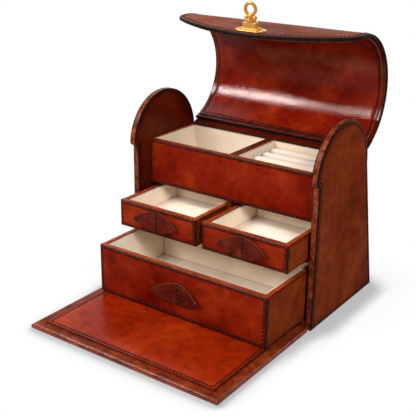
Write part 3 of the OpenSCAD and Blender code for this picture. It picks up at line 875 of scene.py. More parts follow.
# %% Leaf pulls
PULL_LIFT = {"large": 7.5, "left": 4.5, "right": 4.5}
PULL_BEND, PULL_EDGE = 1.25, 0.5
PULL_BORDER, PULL_SINK = 2.0, 0.05
SEAM_DIP, SEAM_DIP_REACH, SEAM_STOP, SEAM_LIFT = 0.5, 1.6, 1.8, 0.25
half = PULL_THICKNESS / 2
pull_rings = plain_face(half, PULL_EDGE, 1, 0) + [(PULL_BORDER, half - PULL_SINK, 0)]
seam_reach = PULL_HEIGHT / 2 - SEAM_STOP
for name, body in DRAWERS.items():
    low, high = node_corners(name + "_front")
    middle = (low + high) / 2

    def place(u, v, h, middle=middle, front=low.y, lift=PULL_LIFT[name]):
        share = abs(u) / (PULL_LENGTH / 2)
        slope = math.copysign(lift * PULL_BEND * share ** (PULL_BEND - 1) / (PULL_LENGTH / 2), u)
        sewn_down = SEAM_DIP * math.exp(-(u / SEAM_DIP_REACH) ** 2) if h > 0 else 0.0
        out = Vector((-slope, -1)).normalized() * h
        depth = front - PULL_THICKNESS / 2 - lift * share ** PULL_BEND + sewn_down
        return at(middle.x + u + out.x, depth + out.y, middle.z + v)

    pull = board(leaf, pull_rings, pull_rings, place, cell=1.6, crown=0.0, rim_finish=1)
    finishes = [leather["pull"], pull_edge]
    make_piece(name + "_leaf_pull", [pull], finishes, body, "dark_leather", name + "_pull")
    sew_run(body, np.array([(0, -seam_reach), (0, seam_reach)]), half + SEAM_LIFT, place)
print("pulls stand off by", PULL_LIFT, "mm")

# %% [markdown]
# ## The flap
# The flap is a thick board with round, glossy edges that catch the light in one thin line, and a sewn panel
# of brighter leather raised on it. The board's edge and the margin round the panel are different finishes
# on one mesh, so no gap can open between them. The leather makes both a little larger than the bare boards.

# %% Flap board
FLAP_COVER, FLAP_LIP, FLAP_SKIN = 2.0, 4.0, 0.3
FLAP_EDGE, FLAP_EDGE_STEPS = 2.5, 6
low, high = node_corners("flap_board")
flap_half = (high.z - low.z) / 2 + FLAP_SKIN
outline = rectangle((low.x - FLAP_COVER, low.y - FLAP_LIP), (high.x + FLAP_COVER, high.y))


def on_flap(u, v, h):
    return at(u, v, flap_half + h)


edge_rings = rounded_edge(flap_half, FLAP_EDGE, 0, FLAP_EDGE_STEPS)
edge_rings[-1] = (FLAP_EDGE, flap_half, 1)
edge_rings.append((FLAP_EDGE + LEVEL_RIM, flap_half, 1))
make_piece("flap_base", [board(outline, edge_rings, edge_rings, on_flap, cell=12.0, crown=0.0)],
           [leather["flap edge"], leather["flap margin"]], "flap", "leather", "flap_board")
print("flap is", round(2 * flap_half, 2), "mm thick")

# %% Raised panel of the flap
RAISED_SEAM, RAISED_EDGE, GLUED_EDGE = 4.2, 0.9, 0.3
low, high = node_corners("flap_raised_panel")
raised_half = (high.z - low.z) / 2
raised_middle = (high.z + low.z) / 2
outline = rectangle((low.x - FLAP_COVER / 2, low.y - FLAP_LIP), (high.x + FLAP_COVER / 2, high.y))


def on_raised(u, v, h):
    return at(u, v, raised_middle + h)


upper = sewn_face(raised_half, RAISED_EDGE, RAISED_SEAM, 1, 0)
lower = plain_face(raised_half, GLUED_EDGE, 1, 0)
make_piece("flap_panel", [board(outline, upper, lower, on_raised, cell=10.0, crown=0.0)],
           [leather["flap"], edge_paint], "flap", "bright_leather", "flap_raised_panel")
sew("flap", outline, RAISED_SEAM, raised_half - SEAM_DEPTH, on_raised)
print("raised panel is", round(2 * raised_half, 2), "mm thick")

# %% [markdown]
# ## The lid
# The lid is one long sheet of leather on a board, bent round the arch and left straight at the front, where
# its edge bows down like a tongue. It is easiest to draw it flat, with its true outline, and bend it after:
# the first part of its length goes round an arc, the rest runs straight on. Then it swings open about its
# hinge. The shell's edge is painted black all round, and the inner leather shows a raw edge a few
# millimetres inside it.

# %% Sizes of the lid
lid_joint = next(j for j in frame["joints"] if j["name"] == "lid_swing")
hinge_y, hinge_z = lid_joint["pos_m"][1] / MM - FRONT_PLANE, lid_joint["pos_m"][2] / MM
lid_open = math.radians(lid_joint["range_deg"][1])
LID_RADIUS, LID_THICKNESS, LID_HALF_WIDTH = 62.5, 4.2, 114.0
LID_MIDDLE_HEIGHT, TONGUE_DROP, TONGUE_BOW, LID_CORNER = 157.0, 44.0, 36.0, 14.0
HINGE_GAP, LID_MARGIN, LID_LINING = 3.1, 4.5, 1.8
bend_radius = LID_RADIUS + LID_THICKNESS / 2
hinge_rise = hinge_z - LID_MIDDLE_HEIGHT
lid_middle = hinge_y - math.sqrt(bend_radius ** 2 - hinge_rise ** 2)
lid_start = math.asin(hinge_rise / bend_radius) + HINGE_GAP / bend_radius
arc_length = bend_radius * (math.pi - lid_start)


def swung(x, y, z):
    dy, dz = y - hinge_y, z - hinge_z
    cosine, sine = math.cos(lid_open), math.sin(lid_open)
    return at(x, hinge_y + dy * cosine + dz * sine, hinge_z - dy * sine + dz * cosine)


def bent(u, s, h):
    if s < arc_length:
        angle = lid_start + s / bend_radius
        y, z = (bend_radius + h) * math.cos(angle), (bend_radius + h) * math.sin(angle)
        return swung(u, lid_middle + y, LID_MIDDLE_HEIGHT + z)
    return swung(u, lid_middle - bend_radius - h, LID_MIDDLE_HEIGHT - (s - arc_length))


print("lid opens", round(math.degrees(lid_open)), "degrees, arc length", round(arc_length, 1), "mm")


# %% Outline of the lid, laid flat
LID_STEP = 4.0


def lid_outline(margin, start):
    half, corner = LID_HALF_WIDTH - margin, LID_CORNER - margin
    bow = (LID_HALF_WIDTH ** 2 + TONGUE_BOW ** 2) / (2 * TONGUE_BOW) - margin
    tip = arc_length + TONGUE_DROP - margin
    corner_x = half - corner
    bow_middle = tip - bow
    corner_s = bow_middle + math.sqrt((bow - corner) ** 2 - corner_x ** 2)
    lean = math.degrees(math.atan2(corner_s - bow_middle, corner_x))
    corners = np.array([(-half, start), (half, start), (half, corner_s), (-half, corner_s)])
    behind, right_side = (stepped(corners[i], corners[i + 1], LID_STEP) for i in (0, 1))
    right_corner = arc((corner_x, corner_s), corner, 0, lean, 9)
    tongue = arc((0, bow_middle), bow, lean, 180 - lean, 56)[1:-1]
    left_corner = arc((-corner_x, corner_s), corner, 180 - lean, 180, 9)
    left_side = stepped(corners[3], corners[0], LID_STEP)[1:]
    return np.vstack([behind, right_side, right_corner, tongue, left_corner, left_side])


# %% Shell of the lid
LID_SEAM, LID_EDGE = 5.2, 1.3
half = LID_THICKNESS / 2
outline = lid_outline(0, 0)
outer, inner = sewn_face(half, LID_EDGE, LID_SEAM, 1, 2), plain_face(half, LID_EDGE, 1, 3)
shell = board(outline, outer, inner, bent, cell=5.0, crown=0.0, rim_finish=1)
make_piece("lid_outer", [shell], [leather["edge band"], edge_paint, leather["lid back"], leather["lid"]],
           "lid", "leather", "lid_shell")
sew("lid", outline, LID_SEAM, half - SEAM_DEPTH, bent)
print("lid outline points", len(outline))

# %% Inner leather of the lid
LINING_SEAM, LINING_EDGE, NEAR = 3.2, 0.5, 0.1
lining_half = LID_LINING / 2
lining_offset = LID_THICKNESS / 2 + lining_half
outline = lid_outline(LID_MARGIN, LID_MARGIN)


def bent_inside(u, s, h):
    return bent(u, s, -lining_offset - h)


near_hinge = outline[:, 1] < LID_MARGIN + NEAR
lining_edge = [2 if both else 1 for both in near_hinge & np.roll(near_hinge, -1)]
inner = sewn_face(lining_half, LINING_EDGE, LINING_SEAM, lining_edge, 0)
glued = plain_face(lining_half, GLUED_EDGE, lining_edge, 0)
lining = board(outline, inner, glued, bent_inside, cell=4.5, crown=0.0, rim_finish=lining_edge)
make_piece("lid_inner", [lining], [leather["lid"], raw_edge, edge_paint], "lid", "leather", "lid_lining")
sew("lid", outline, LINING_SEAM, lining_half - SEAM_DEPTH, bent_inside)
print("seam runs on the lid", len(seams["lid"]))

# %% [markdown]
# ## The turn clasp
# The clasp is cast and plated: an oval plate with two domed rivets, a flanged block, and on top a collar
# that turns, with a knuckle on each side and a ring. The board builder makes every flat part of it too,
# each with its rounded rim. Only the ring and the domes are drawn by their own formulas.

# %% Place of the clasp on the tongue
CLASP_INSET = 13.0
clasp_face = lid_middle - bend_radius - LID_THICKNESS / 2
clasp_height = LID_MIDDLE_HEIGHT - TONGUE_DROP + CLASP_INSET


def on_clasp(x, y, z):
    return swung(x, clasp_face - z, clasp_height + y)


print("clasp's middle", [round(v / MM, 1) for v in on_clasp(0, 0, 0)], "mm")


# %% Flat parts with rounded rims
CAST_RIM = 0.25


def disc(radius, count=40):
    return arc((0, 0), radius, 0, 360, count + 1)[:-1]


def slab(outline, low, high, radius):
    half, middle = (high - low) / 2, (low + high) / 2
    rings = rounded_edge(half, min(radius, half * 0.95), 0, 3) + [(radius + CAST_RIM, half, 0)]
    return board(outline, rings, rings, lambda u, v, h: on_clasp(u, v, middle + h), cell=30.0, crown=0.0)


# %% Rings and domes
FAR_FROM_EDGE = 5.0


def surface(point, count_u, count_v):
    points = [point(2 * math.pi * i / count_u, 2 * math.pi * j / count_v)
              for i in range(count_u) for j in range(count_v)]
    faces = []
    for i in range(count_u):
        for j in range(count_v):
            k, m = (i + 1) % count_u, (j + 1) % count_v
            faces.append((i * count_v + j, k * count_v + j, k * count_v + m, i * count_v + m))
    return points, faces, [0] * len(faces), [FAR_FROM_EDGE] * len(points)


def ball(middle, radius, rings=10, around=20):
    points = [on_clasp(middle[0], middle[1], middle[2] - radius)]
    for i in range(1, rings):
        tilt = math.pi * i / rings
        for j in range(around):
            turn = 2 * math.pi * j / around
            points.append(on_clasp(middle[0] + radius * math.sin(tilt) * math.cos(turn),
                                   middle[1] + radius * math.sin(tilt) * math.sin(turn),
                                   middle[2] - radius * math.cos(tilt)))
    points.append(on_clasp(middle[0], middle[1], middle[2] + radius))
    last = len(points) - 1
    faces = []
    for j in range(around):
        k = (j + 1) % around
        faces.append((0, 1 + k, 1 + j))
        for i in range(rings - 2):
            a = 1 + i * around
            faces.append((a + j, a + k, a + around + k, a + around + j))
        end = 1 + (rings - 2) * around
        faces.append((end + j, end + k, last))
    return points, faces, [0] * len(faces), [FAR_FROM_EDGE] * len(points)


# %% Plate and rivets
PLATE_LENGTH, PLATE_WIDTH, PLATE = 36.0, 15.0, 1.6
RIVET_RADIUS, RIVET_DOME, RIVET_INSET = 1.9, 0.9, 3.0
end_middle = (PLATE_LENGTH - PLATE_WIDTH) / 2
oval = np.vstack([arc((end_middle, 0), PLATE_WIDTH / 2, -90, 90, 21),
                  arc((-end_middle, 0), PLATE_WIDTH / 2, 90, 270, 21)])
make_piece("clasp_base_plate", [slab(oval, 0, PLATE, radius=0.7)], [gold], "lid", "gold", "clasp_plate")
dome_radius = (RIVET_RADIUS ** 2 + RIVET_DOME ** 2) / (2 * RIVET_DOME)
rivet_x, rivet_z = PLATE_LENGTH / 2 - RIVET_INSET, PLATE + RIVET_DOME - dome_radius
rivets = [ball((side * rivet_x, 0, rivet_z), dome_radius) for side in (-1, 1)]
make_piece("clasp_dome_rivets", rivets, [gold], "lid", "gold", "clasp_rivets")
print("clasp plate", PLATE_LENGTH, "by", PLATE_WIDTH, "mm")

# %% Block
BLOCK_WIDTH, BLOCK_DEPTH, BLOCK_HEIGHT = 15.0, 9.0, 8.0
FLANGE, FLANGE_OVER, OVERLAP = 1.5, 2.4, 0.1
flange_x, flange_y = BLOCK_WIDTH / 2 + FLANGE_OVER, (BLOCK_DEPTH + FLANGE_OVER) / 2
block_x, block_y, block_top = BLOCK_WIDTH / 2, BLOCK_DEPTH / 2, PLATE + BLOCK_HEIGHT
flange_outline = rectangle((-flange_x, -flange_y), (flange_x, flange_y))
block_outline = rectangle((-block_x, -block_y), (block_x, block_y))
flange = slab(flange_outline, PLATE, PLATE + FLANGE, radius=0.5)
block = slab(block_outline, PLATE + FLANGE - OVERLAP, block_top, radius=0.8)
make_piece("clasp_square_block", [flange, block], [gold], "lid", "gold", "clasp_block")
print("clasp block's top", round(block_top, 1), "mm off the lid")

# %% The part that turns
COLLAR_RADIUS, COLLAR, KNUCKLE = 5.4, 3.2, 2.5
NECK_SHARE, KNUCKLE_OUT, KNUCKLE_RISE = 0.72, 0.95, 0.4
RING_RADIUS, RING_WIRE = 6.2, 3.6
collar_top = block_top + COLLAR
knuckle_z = collar_top + KNUCKLE * KNUCKLE_RISE
ring_z = knuckle_z + KNUCKLE * KNUCKLE_RISE + RING_RADIUS + RING_WIRE / 2


def ring_point(turn, round_wire):
    radius = RING_RADIUS + RING_WIRE / 2 * math.cos(round_wire)
    across = RING_WIRE / 2 * math.sin(round_wire)
    return on_clasp(radius * math.cos(turn), across, ring_z + radius * math.sin(turn))


neck = disc(COLLAR_RADIUS * NECK_SHARE, 32)
turning = [slab(disc(COLLAR_RADIUS), block_top, collar_top, radius=0.8),
           slab(neck, collar_top - OVERLAP, ring_z - RING_RADIUS, radius=0.9),
           surface(ring_point, 56, 20)]
turning += [ball((side * COLLAR_RADIUS * KNUCKLE_OUT, 0, knuckle_z), KNUCKLE) for side in (-1, 1)]
make_piece("clasp_turning_ring", turning, [gold], "clasp", "gold", "clasp_ring")
print("clasp stands", round(ring_z + RING_RADIUS + RING_WIRE / 2, 1), "mm off the lid")

# %% [markdown]
# ## Leather hinges
# The lid and the flap turn on strips of leather that are glued to both sides and fold along the hinge line.
# A strip is drawn as a path in depth and height, extruded along the width.


# %% Strips along a path
STRIP_STEP, STRIP_PROBE, STRIP_EDGE = 1.2, 0.3, 0.4


def smooth_path(corners, per_span=6):
    corners = [Vector(c) for c in corners]
    padded = [2 * corners[0] - corners[1]] + corners + [2 * corners[-1] - corners[-2]]
    path = []
    for i in range(1, len(padded) - 2):
        a, b, c, d = padded[i - 1:i + 3]
        for k in range(per_span):
            t = k / per_span
            path.append(0.5 * ((2 * b) + (c - a) * t + (2 * a - 5 * b + 4 * c - d) * t * t
                               + (3 * b - a - 3 * c + d) * t ** 3))
    return path + [corners[-1]]


def strip(corners, half_width, thickness):
    path = smooth_path(corners)
    along = np.concatenate([[0], np.cumsum([(q - p).length for p, q in zip(path, path[1:])])])
    lines = np.array([tuple(p) for p in path])

    def place(u, s, h):
        y, z = (np.interp(s, along, lines[:, i]) for i in (0, 1))
        y2, z2 = (np.interp(min(s + STRIP_PROBE, along[-1]), along, lines[:, i]) for i in (0, 1))
        y1, z1 = (np.interp(max(s - STRIP_PROBE, 0), along, lines[:, i]) for i in (0, 1))
        run = Vector((y2 - y1, z2 - z1)).normalized()
        return at(u, y + run.y * h, z - run.x * h)

    outline = divided(rectangle((-half_width, 0), (half_width, along[-1])), STRIP_STEP)
    rings = plain_face(thickness / 2, STRIP_EDGE, 0, 0)
    return board(outline, rings, rings, place, cell=3.0, crown=0.0)


# %% Lid hinge
STRIP, STRIP_GAP, LID_STRIP_HALF = 1.6, 0.95, 113
GLUED_TO_BACK, GLUED_TO_LID = (142, 152, 162), (0.3, 9, 18)


def outside_of_lid(s):
    spot = bent(0, s, LID_THICKNESS / 2 + STRIP_GAP) / MM
    return spot.y - FRONT_PLANE, spot.z


def outside_of_back(z):
    return BASE_DEPTH - BACK_SLOPE * z + STRIP_GAP, z


lid_path = [outside_of_back(z) for z in GLUED_TO_BACK] + [(hinge_y - 0.6, hinge_z - 3.3)]
lid_path += [outside_of_lid(s) for s in GLUED_TO_LID]
# The strips take the inside leather, painted darker as shade.
strip_finish = [leather["inside"]]
lid_board = strip(lid_path, LID_STRIP_HALF, STRIP)
lid_strip = add_object("lid_hinge_strip", piece_mesh("lid_hinge_strip", [lid_board], strip_finish))
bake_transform(lid_strip, "carcass", "lid", start=at(0, hinge_y - 1.4, hinge_z - 4.2),
         end=at(0, hinge_y + 3.2, hinge_z - 2))
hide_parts("lid_hinge")
print("lid hinge", len(lid_strip.data.polygons), "faces")

# %% Flap hinge
FLAP_STRIP_HALF = 108
flap_path = [(-0.9, 8.0), (-0.95, 6.9), (-2.2, 6.3), (-4.5, 6.35), (-7.0, 6.3), (-15.4, 6.3)]
flap_board = strip(flap_path, FLAP_STRIP_HALF, STRIP)
flap_strip = add_object("flap_hinge_strip", piece_mesh("flap_hinge_strip", [flap_board], strip_finish))
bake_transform(flap_strip, "carcass", "flap", start=at(0, -1.6, 6), end=at(0, -6.2, 6))
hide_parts("flap_hinge")
print("flap hinge", len(flap_strip.data.polygons), "faces")

# %% [markdown]
# ## Ring rolls
# The ring rolls are foam covered with suede. Plain cylinders would look like dowels. Pressure in a cloth
# simulation gives them their swell: a slightly slimmer roll is remeshed, blown up for a few frames with its
# underside held, and smoothed. The attribute "edge" is small down in the grooves and at the rolls' ends,
# where the finish paints shade on the suede.

# %% Slim rolls before the simulation
ROLLS, ROLL_PITCH, ROLL_RADIUS, ROLL_SWELL = 4, 18.0, 8.7, 1.5
END_GAP, END_TAPER, END_TAPER_REACH, ABOVE_BED = 0.2, 0.06, 0.8, 0.1
low, high = node_corners("ring_rolls")
first_roll = low.y + ROLL_RADIUS
roll_axis = high.z - ROLL_RADIUS + ROLL_SWELL


def slim_roll(index, shrink=0.7, around=24, along=30):
    radius = ROLL_RADIUS - shrink
    start, end = low.x + END_GAP, high.x - END_GAP
    points, faces = [], []
    for i in range(along + 1):
        share = i / along
        x = start + (end - start) * share
        near_end = min(share, 1 - share) * (end - start)
        drawn = radius * (1 - END_TAPER * math.exp(-near_end / END_TAPER_REACH))
        for j in range(around):
            turn = 2 * math.pi * j / around
            z = max(roll_axis + drawn * math.sin(turn), low.z + ABOVE_BED)
            points.append(at(x, first_roll + index * ROLL_PITCH + drawn * math.cos(turn), z))
    for i in range(along):
        for j in range(around):
            k = (j + 1) % around
            faces.append((i * around + j, i * around + k, (i + 1) * around + k, (i + 1) * around + j))
    faces += [tuple(range(around)), tuple(along * around + j for j in range(around))]
    return points, faces, [0] * len(faces), [FAR_FROM_EDGE] * len(points)


slim_rolls = [slim_roll(i) for i in range(ROLLS)]
rolls = add_object("ring_roll_cushions", piece_mesh("ring_roll_cushions", slim_rolls, [roll_suede_painted_darker]))
print("rolls", ROLLS, "of", round(high.x - low.x, 1), "mm")


# %% Swell them
HELD_BELOW = 1.0


def apply_modifiers(piece):
    bpy.context.view_layer.update()
    evaluated = piece.evaluated_get(bpy.context.evaluated_depsgraph_get())
    mesh = bpy.data.meshes.new_from_object(evaluated)
    piece.modifiers.clear()
    piece.data = mesh


def swell(piece, frames=16, cap=1.1 * MM, voxel=2.4 * MM, pressure=4.0):
    remesh = piece.modifiers.new("Remesh", "REMESH")
    remesh.mode, remesh.voxel_size = "VOXEL", voxel
    apply_modifiers(piece)
    rest = np.array([v.co for v in piece.data.vertices])
    held = piece.vertex_groups.new(name="held")
    held.add([i for i, p in enumerate(rest) if p[2] < (low.z + HELD_BELOW) * MM], 1.0, "REPLACE")
    cloth = piece.modifiers.new("Cloth", "CLOTH")
    cloth.settings.use_pressure = True
    cloth.settings.uniform_pressure_force = pressure
    cloth.settings.effector_weights.gravity = 0.0
    cloth.settings.vertex_group_mass = "held"
    cloth.collision_settings.use_collision = False
    for step in range(1, frames + 1):
        scene.frame_set(step)
    apply_modifiers(piece)
    scene.frame_set(1)
    moved = np.array([v.co for v in piece.data.vertices]) - rest
    reach = np.linalg.norm(moved, axis=1)[:, None]
    kept = rest + moved * np.minimum(1.0, cap / np.maximum(reach, 1e-9))
    piece.data.vertices.foreach_set("co", kept.astype(np.float32).ravel())
    return float(reach.max())


print("rolls swelled by up to", round(swell(rolls) / MM, 2), "mm")
smooth = rolls.modifiers.new("Smooth", "SUBSURF")
smooth.levels = smooth.render_levels = 1
apply_modifiers(rolls)
print("ring rolls", len(rolls.data.polygons), "faces")

# %% Shade in the grooves
GROOVE_HEIGHTS = (0.35 * ROLL_RADIUS, 0.97 * ROLL_RADIUS)
attributes = rolls.data.attributes
roll_edge = attributes.get("edge") or attributes.new("edge", "FLOAT", "POINT")
spots = np.array([v.co for v in rolls.data.vertices]) / MM
from_groove = np.interp(spots[:, 2] - roll_axis, GROOVE_HEIGHTS, CREASE_REACH)
# Painted shade also darkens the suede near each roll's end.
from_end = np.minimum(spots[:, 0] - low.x, high.x - spots[:, 0])
roll_edge.data.foreach_set("value", np.minimum(from_groove, from_end))
rolls.data.shade_smooth()
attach(rolls, "carcass")
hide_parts("ring_rolls")
print("grooves shaded below", round(GROOVE_HEIGHTS[1], 1), "mm above the rolls' middle")

# %% [markdown]
# ## Sewing with Geometry Nodes
# Every stitch is the same short piece of thread, so instances along a curve are the natural tool. The tree
# turns each run into a curve, spaces points along it, turns a small bead of thread along the run and out of
# the leather, and makes the instances real. A fixed seed gives each stitch a slightly different slant.


# %% Inputs of the stitch tree
def stitch_tree():
    tree = bpy.data.node_groups.new("Saddle stitches", "GeometryNodeTree")
    sockets = {}
    tree.interface.new_socket("Geometry", in_out="INPUT", socket_type="NodeSocketGeometry")
    for label, kind in (("Pitch", "Float"), ("Length", "Float"), ("Width", "Float"), ("Height", "Float"),
                        ("Slant", "Float"), ("Seed", "Int"), ("Thread", "Material")):
        socket = tree.interface.new_socket(label, in_out="INPUT", socket_type="NodeSocket" + kind)
        sockets[label] = socket.identifier
    tree.interface.new_socket("Geometry", in_out="OUTPUT", socket_type="NodeSocketGeometry")
    return tree, sockets


# %% Wiring the stitch tree
LEAST_SLANT = 0.02
BEAD_SEGMENTS, BEAD_RINGS = 7, 5


def wire_stitch_tree(tree):
    def node(kind, **settings):
        made = tree.nodes.new(kind)
        for key, value in settings.items():
            setattr(made, key, value)
        return made

    def link(source, target):
        tree.links.new(source, target)

    given, result = node("NodeGroupInput"), node("NodeGroupOutput")
    curve, spaced = node("GeometryNodeMeshToCurve"), node("GeometryNodeResampleCurve", mode="LENGTH")
    tangent = node("GeometryNodeInputTangent")
    up = node("GeometryNodeInputNamedAttribute", data_type="FLOAT_VECTOR")
    up.inputs["Name"].default_value = "up"
    turn = node("FunctionNodeAxesToRotation", primary_axis="Z", secondary_axis="X")
    slant = node("FunctionNodeRandomValue", data_type="FLOAT")
    tilt = node("ShaderNodeCombineXYZ")
    to_rotation = node("FunctionNodeEulerToRotation")
    turned = node("FunctionNodeRotateRotation", rotation_space="LOCAL")
    size = node("ShaderNodeCombineXYZ")
    bead = node("GeometryNodeMeshUVSphere")
    bead.inputs["Segments"].default_value = BEAD_SEGMENTS
    bead.inputs["Rings"].default_value = BEAD_RINGS
    bead.inputs["Radius"].default_value = 0.5
    spread = node("GeometryNodeInstanceOnPoints")
    real, shade = node("GeometryNodeRealizeInstances"), node("GeometryNodeSetShadeSmooth")
    paint = node("GeometryNodeSetMaterial")
    link(given.outputs["Geometry"], curve.inputs["Mesh"])
    link(curve.outputs["Curve"], spaced.inputs["Curve"])
    link(given.outputs["Pitch"], spaced.inputs["Length"])
    link(up.outputs["Attribute"], turn.inputs["Primary Axis"])
    link(tangent.outputs["Tangent"], turn.inputs["Secondary Axis"])
    link(given.outputs["Slant"], slant.inputs[3])
    slant.inputs[2].default_value = LEAST_SLANT
    link(given.outputs["Seed"], slant.inputs["Seed"])
    link(slant.outputs[1], tilt.inputs["Z"])
    link(tilt.outputs["Vector"], to_rotation.inputs["Euler"])
    link(turn.outputs["Rotation"], turned.inputs["Rotation"])
    link(to_rotation.outputs["Rotation"], turned.inputs["Rotate By"])
    for label, axis in (("Length", "X"), ("Width", "Y"), ("Height", "Z")):
        link(given.outputs[label], size.inputs[axis])
    link(spaced.outputs["Curve"], spread.inputs["Points"])
    link(bead.outputs["Mesh"], spread.inputs["Instance"])
    link(turned.outputs["Rotation"], spread.inputs["Rotation"])
    link(size.outputs["Vector"], spread.inputs["Scale"])
    link(spread.outputs["Instances"], real.inputs["Geometry"])
    link(real.outputs["Geometry"], shade.inputs["Geometry"])
    link(shade.outputs["Geometry"], paint.inputs["Geometry"])
    link(given.outputs["Thread"], paint.inputs["Material"])
    link(paint.outputs["Geometry"], result.inputs["Geometry"])


stitches, stitch_sockets = stitch_tree()
wire_stitch_tree(stitches)
print("stitch tree", len(stitches.nodes), "nodes")

# %% Sew every body
STITCH = {"Pitch": STITCH_PITCH * MM, "Length": 3.2 * MM, "Width": 2.0 * MM, "Height": 1.7 * MM,
          "Slant": 0.12, "Seed": 7, "Thread": thread}


def run_mesh(name, runs):
    points, edges, ups = [], [], []
    for spots, directions in runs:
        base = len(points)
        points += [tuple(p) for p in spots]
        ups += [c for d in directions for c in d]
        edges += [(base + i, base + i + 1) for i in range(len(spots) - 1)]
    mesh = bpy.data.meshes.new(name)
    mesh.from_pydata(points, edges, [])
    mesh.attributes.new("up", "FLOAT_VECTOR", "POINT").data.foreach_set("vector", ups)
    return mesh


for body, runs in seams.items():
    if not runs:
        continue
    name = body + "_stitches"
    piece = add_object(name, run_mesh(name, runs))
    sewing = piece.modifiers.new("Sewing", "NODES")
    sewing.node_group = stitches
    for label, value in STITCH.items():
        sewing[stitch_sockets[label]] = value
    apply_modifiers(piece)
    piece.data.materials.clear()
    piece.data.materials.append(thread)
    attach(piece, body)
    print(name, len(piece.data.polygons), "faces")

# %% [markdown]
# ## Solids that stay
# The base, the shelf, the upright between the small drawers, the tray floor and the drawer bottoms are
# plain boards that hardly show, and so is the bed under the ring rolls. Dressing them anew would only add
# faces, so they keep their solids and get a finish.

# %% Finishes for the solids that stay
plain_nodes = ["base_panel", "drawer_shelf", "drawer_partition", "tray_floor"]
plain_nodes += [name + "_bottom" for name in DRAWERS]
staying = {**{node: leather["plain"] for node in plain_nodes}, "ring_bed": tray_suede_painted_darker}
for node, finish in staying.items():
    frame["nodes"][node].data.materials.clear()
    frame["nodes"][node].data.materials.append(finish)
print("solids that stay", list(staying))

# %% [markdown]
# ## Studio
# The box stands on a white floor that fades to pure white away from it, so no horizon shows. The light on
# the box must not rise for that, so the floor's material glows for the camera alone. Hardly any shadow
# would show on such a floor, so ambient occlusion darkens it where the box stands close.

# %% Finish of the floor
FOOTPRINT_MIDDLE, FOOTPRINT_HALF = (0.0, -0.08, 0.0), (0.11, 0.145, 1.0)
FLOOR_COLOUR = (0.76, 0.76, 0.76, 1.0)
FADE_REACH, FADE_TONES = (0.0, 0.1), (0.8, 1.0)
CONTACT_REACH, CONTACT_SAMPLES = 0.03, 12
OPEN_SKY, CONTACT_TONES = (0.8, 1.0), (0.48, 1.0)
NO_YES = (0.0, 1.0)
FLOOR_STRENGTHS = (1.0, 0.2)


def floor_finish():
    material, tree, shader = start_material("studio floor")
    shader.inputs["Base Color"].default_value = FLOOR_COLOUR
    shader.inputs["Roughness"].default_value = 0.9
    shader.inputs["Specular IOR Level"].default_value = 0.0
    glow = tree.nodes.new("ShaderNodeEmission")
    path = tree.nodes.new("ShaderNodeLightPath")
    coordinates = tree.nodes.new("ShaderNodeTexCoord")
    away = coordinates.outputs["Object"]
    for operation, value in (("SUBTRACT", FOOTPRINT_MIDDLE), ("ABSOLUTE", None), ("SUBTRACT", FOOTPRINT_HALF),
                             ("MAXIMUM", (0, 0, 0)), ("LENGTH", None)):
        step = tree.nodes.new("ShaderNodeVectorMath")
        step.operation = operation
        tree.links.new(away, step.inputs[0])
        if value:
            step.inputs[1].default_value = value
        away = step.outputs["Value" if operation == "LENGTH" else "Vector"]
    fade = map_range(tree, away, FADE_REACH, FADE_TONES)
    open_sky = tree.nodes.new("ShaderNodeAmbientOcclusion")
    open_sky.samples = CONTACT_SAMPLES
    open_sky.inputs["Distance"].default_value = CONTACT_REACH
    contact = map_range(tree, open_sky.outputs["AO"], OPEN_SKY, CONTACT_TONES, "LINEAR")
    mirrored = map_range(tree, path.outputs["Is Glossy Ray"], NO_YES, FLOOR_STRENGTHS)
    tree.links.new(calculate(tree, "MULTIPLY", contact, mirrored), glow.inputs["Strength"])
    seen = calculate(tree, "MAXIMUM", path.outputs["Is Camera Ray"], path.outputs["Is Glossy Ray"])
    seen = calculate(tree, "MAXIMUM", seen, path.outputs["Is Transmission Ray"])
    mix = tree.nodes.new("ShaderNodeMixShader")
    tree.links.new(calculate(tree, "MULTIPLY", fade, seen), mix.inputs["Fac"])
    tree.links.new(shader.outputs["BSDF"], mix.inputs[1])
    tree.links.new(glow.outputs["Emission"], mix.inputs[2])
    tree.links.new(mix.outputs["Shader"], tree.nodes["Material Output"].inputs["Surface"])
    return material


# %% Floor
FLOOR, FLOOR_DROP = 6.0, 0.0004
floor_mesh = bpy.data.meshes.new("floor")
floor_corners = rectangle((-FLOOR, -FLOOR), (FLOOR, FLOOR))
floor_mesh.from_pydata([(x, y, -FLOOR_DROP) for x, y in floor_corners], [], [(0, 1, 2, 3)])
floor_mesh.materials.append(floor_finish())
floor = add_object("floor", floor_mesh)
print("floor", 2 * FLOOR, "metres wide")

# %% [markdown]
# The room is dim and a little warm. Behind the box, seen from the camera's side, it turns white, and that
# white also shows in the polish. Four soft lamps light the box. The key is a narrow strip at the upper
# left: only it mirrors, and it draws the bright streak across the inside of the lid. The front, fill and
# back lamps lift the shades without a reflection of their own.

# %% Room
ROOM_COLOUR, WHITE = (1.0, 0.98, 0.96, 1.0), (1.0, 1.0, 1.0, 1.0)
ROOM_STRENGTHS, BACKDROP_SPAN = (0.25, 0.04), (-0.1, 0.7)
VIEW_TURN = math.radians(35.13)
world = bpy.data.worlds.new("studio room")
scene.world = world
world.use_nodes = True
tree = world.node_tree
tree.nodes.clear()
room, white = tree.nodes.new("ShaderNodeBackground"), tree.nodes.new("ShaderNodeBackground")
room.inputs["Color"].default_value = ROOM_COLOUR
white.inputs["Color"].default_value = WHITE
white.inputs["Strength"].default_value = 1.0
path = tree.nodes.new("ShaderNodeLightPath")
strength = map_range(tree, path.outputs["Is Glossy Ray"], NO_YES, ROOM_STRENGTHS)
tree.links.new(strength, room.inputs["Strength"])
direction = tree.nodes.new("ShaderNodeTexCoord")
behind = tree.nodes.new("ShaderNodeVectorMath")
behind.operation = "DOT_PRODUCT"
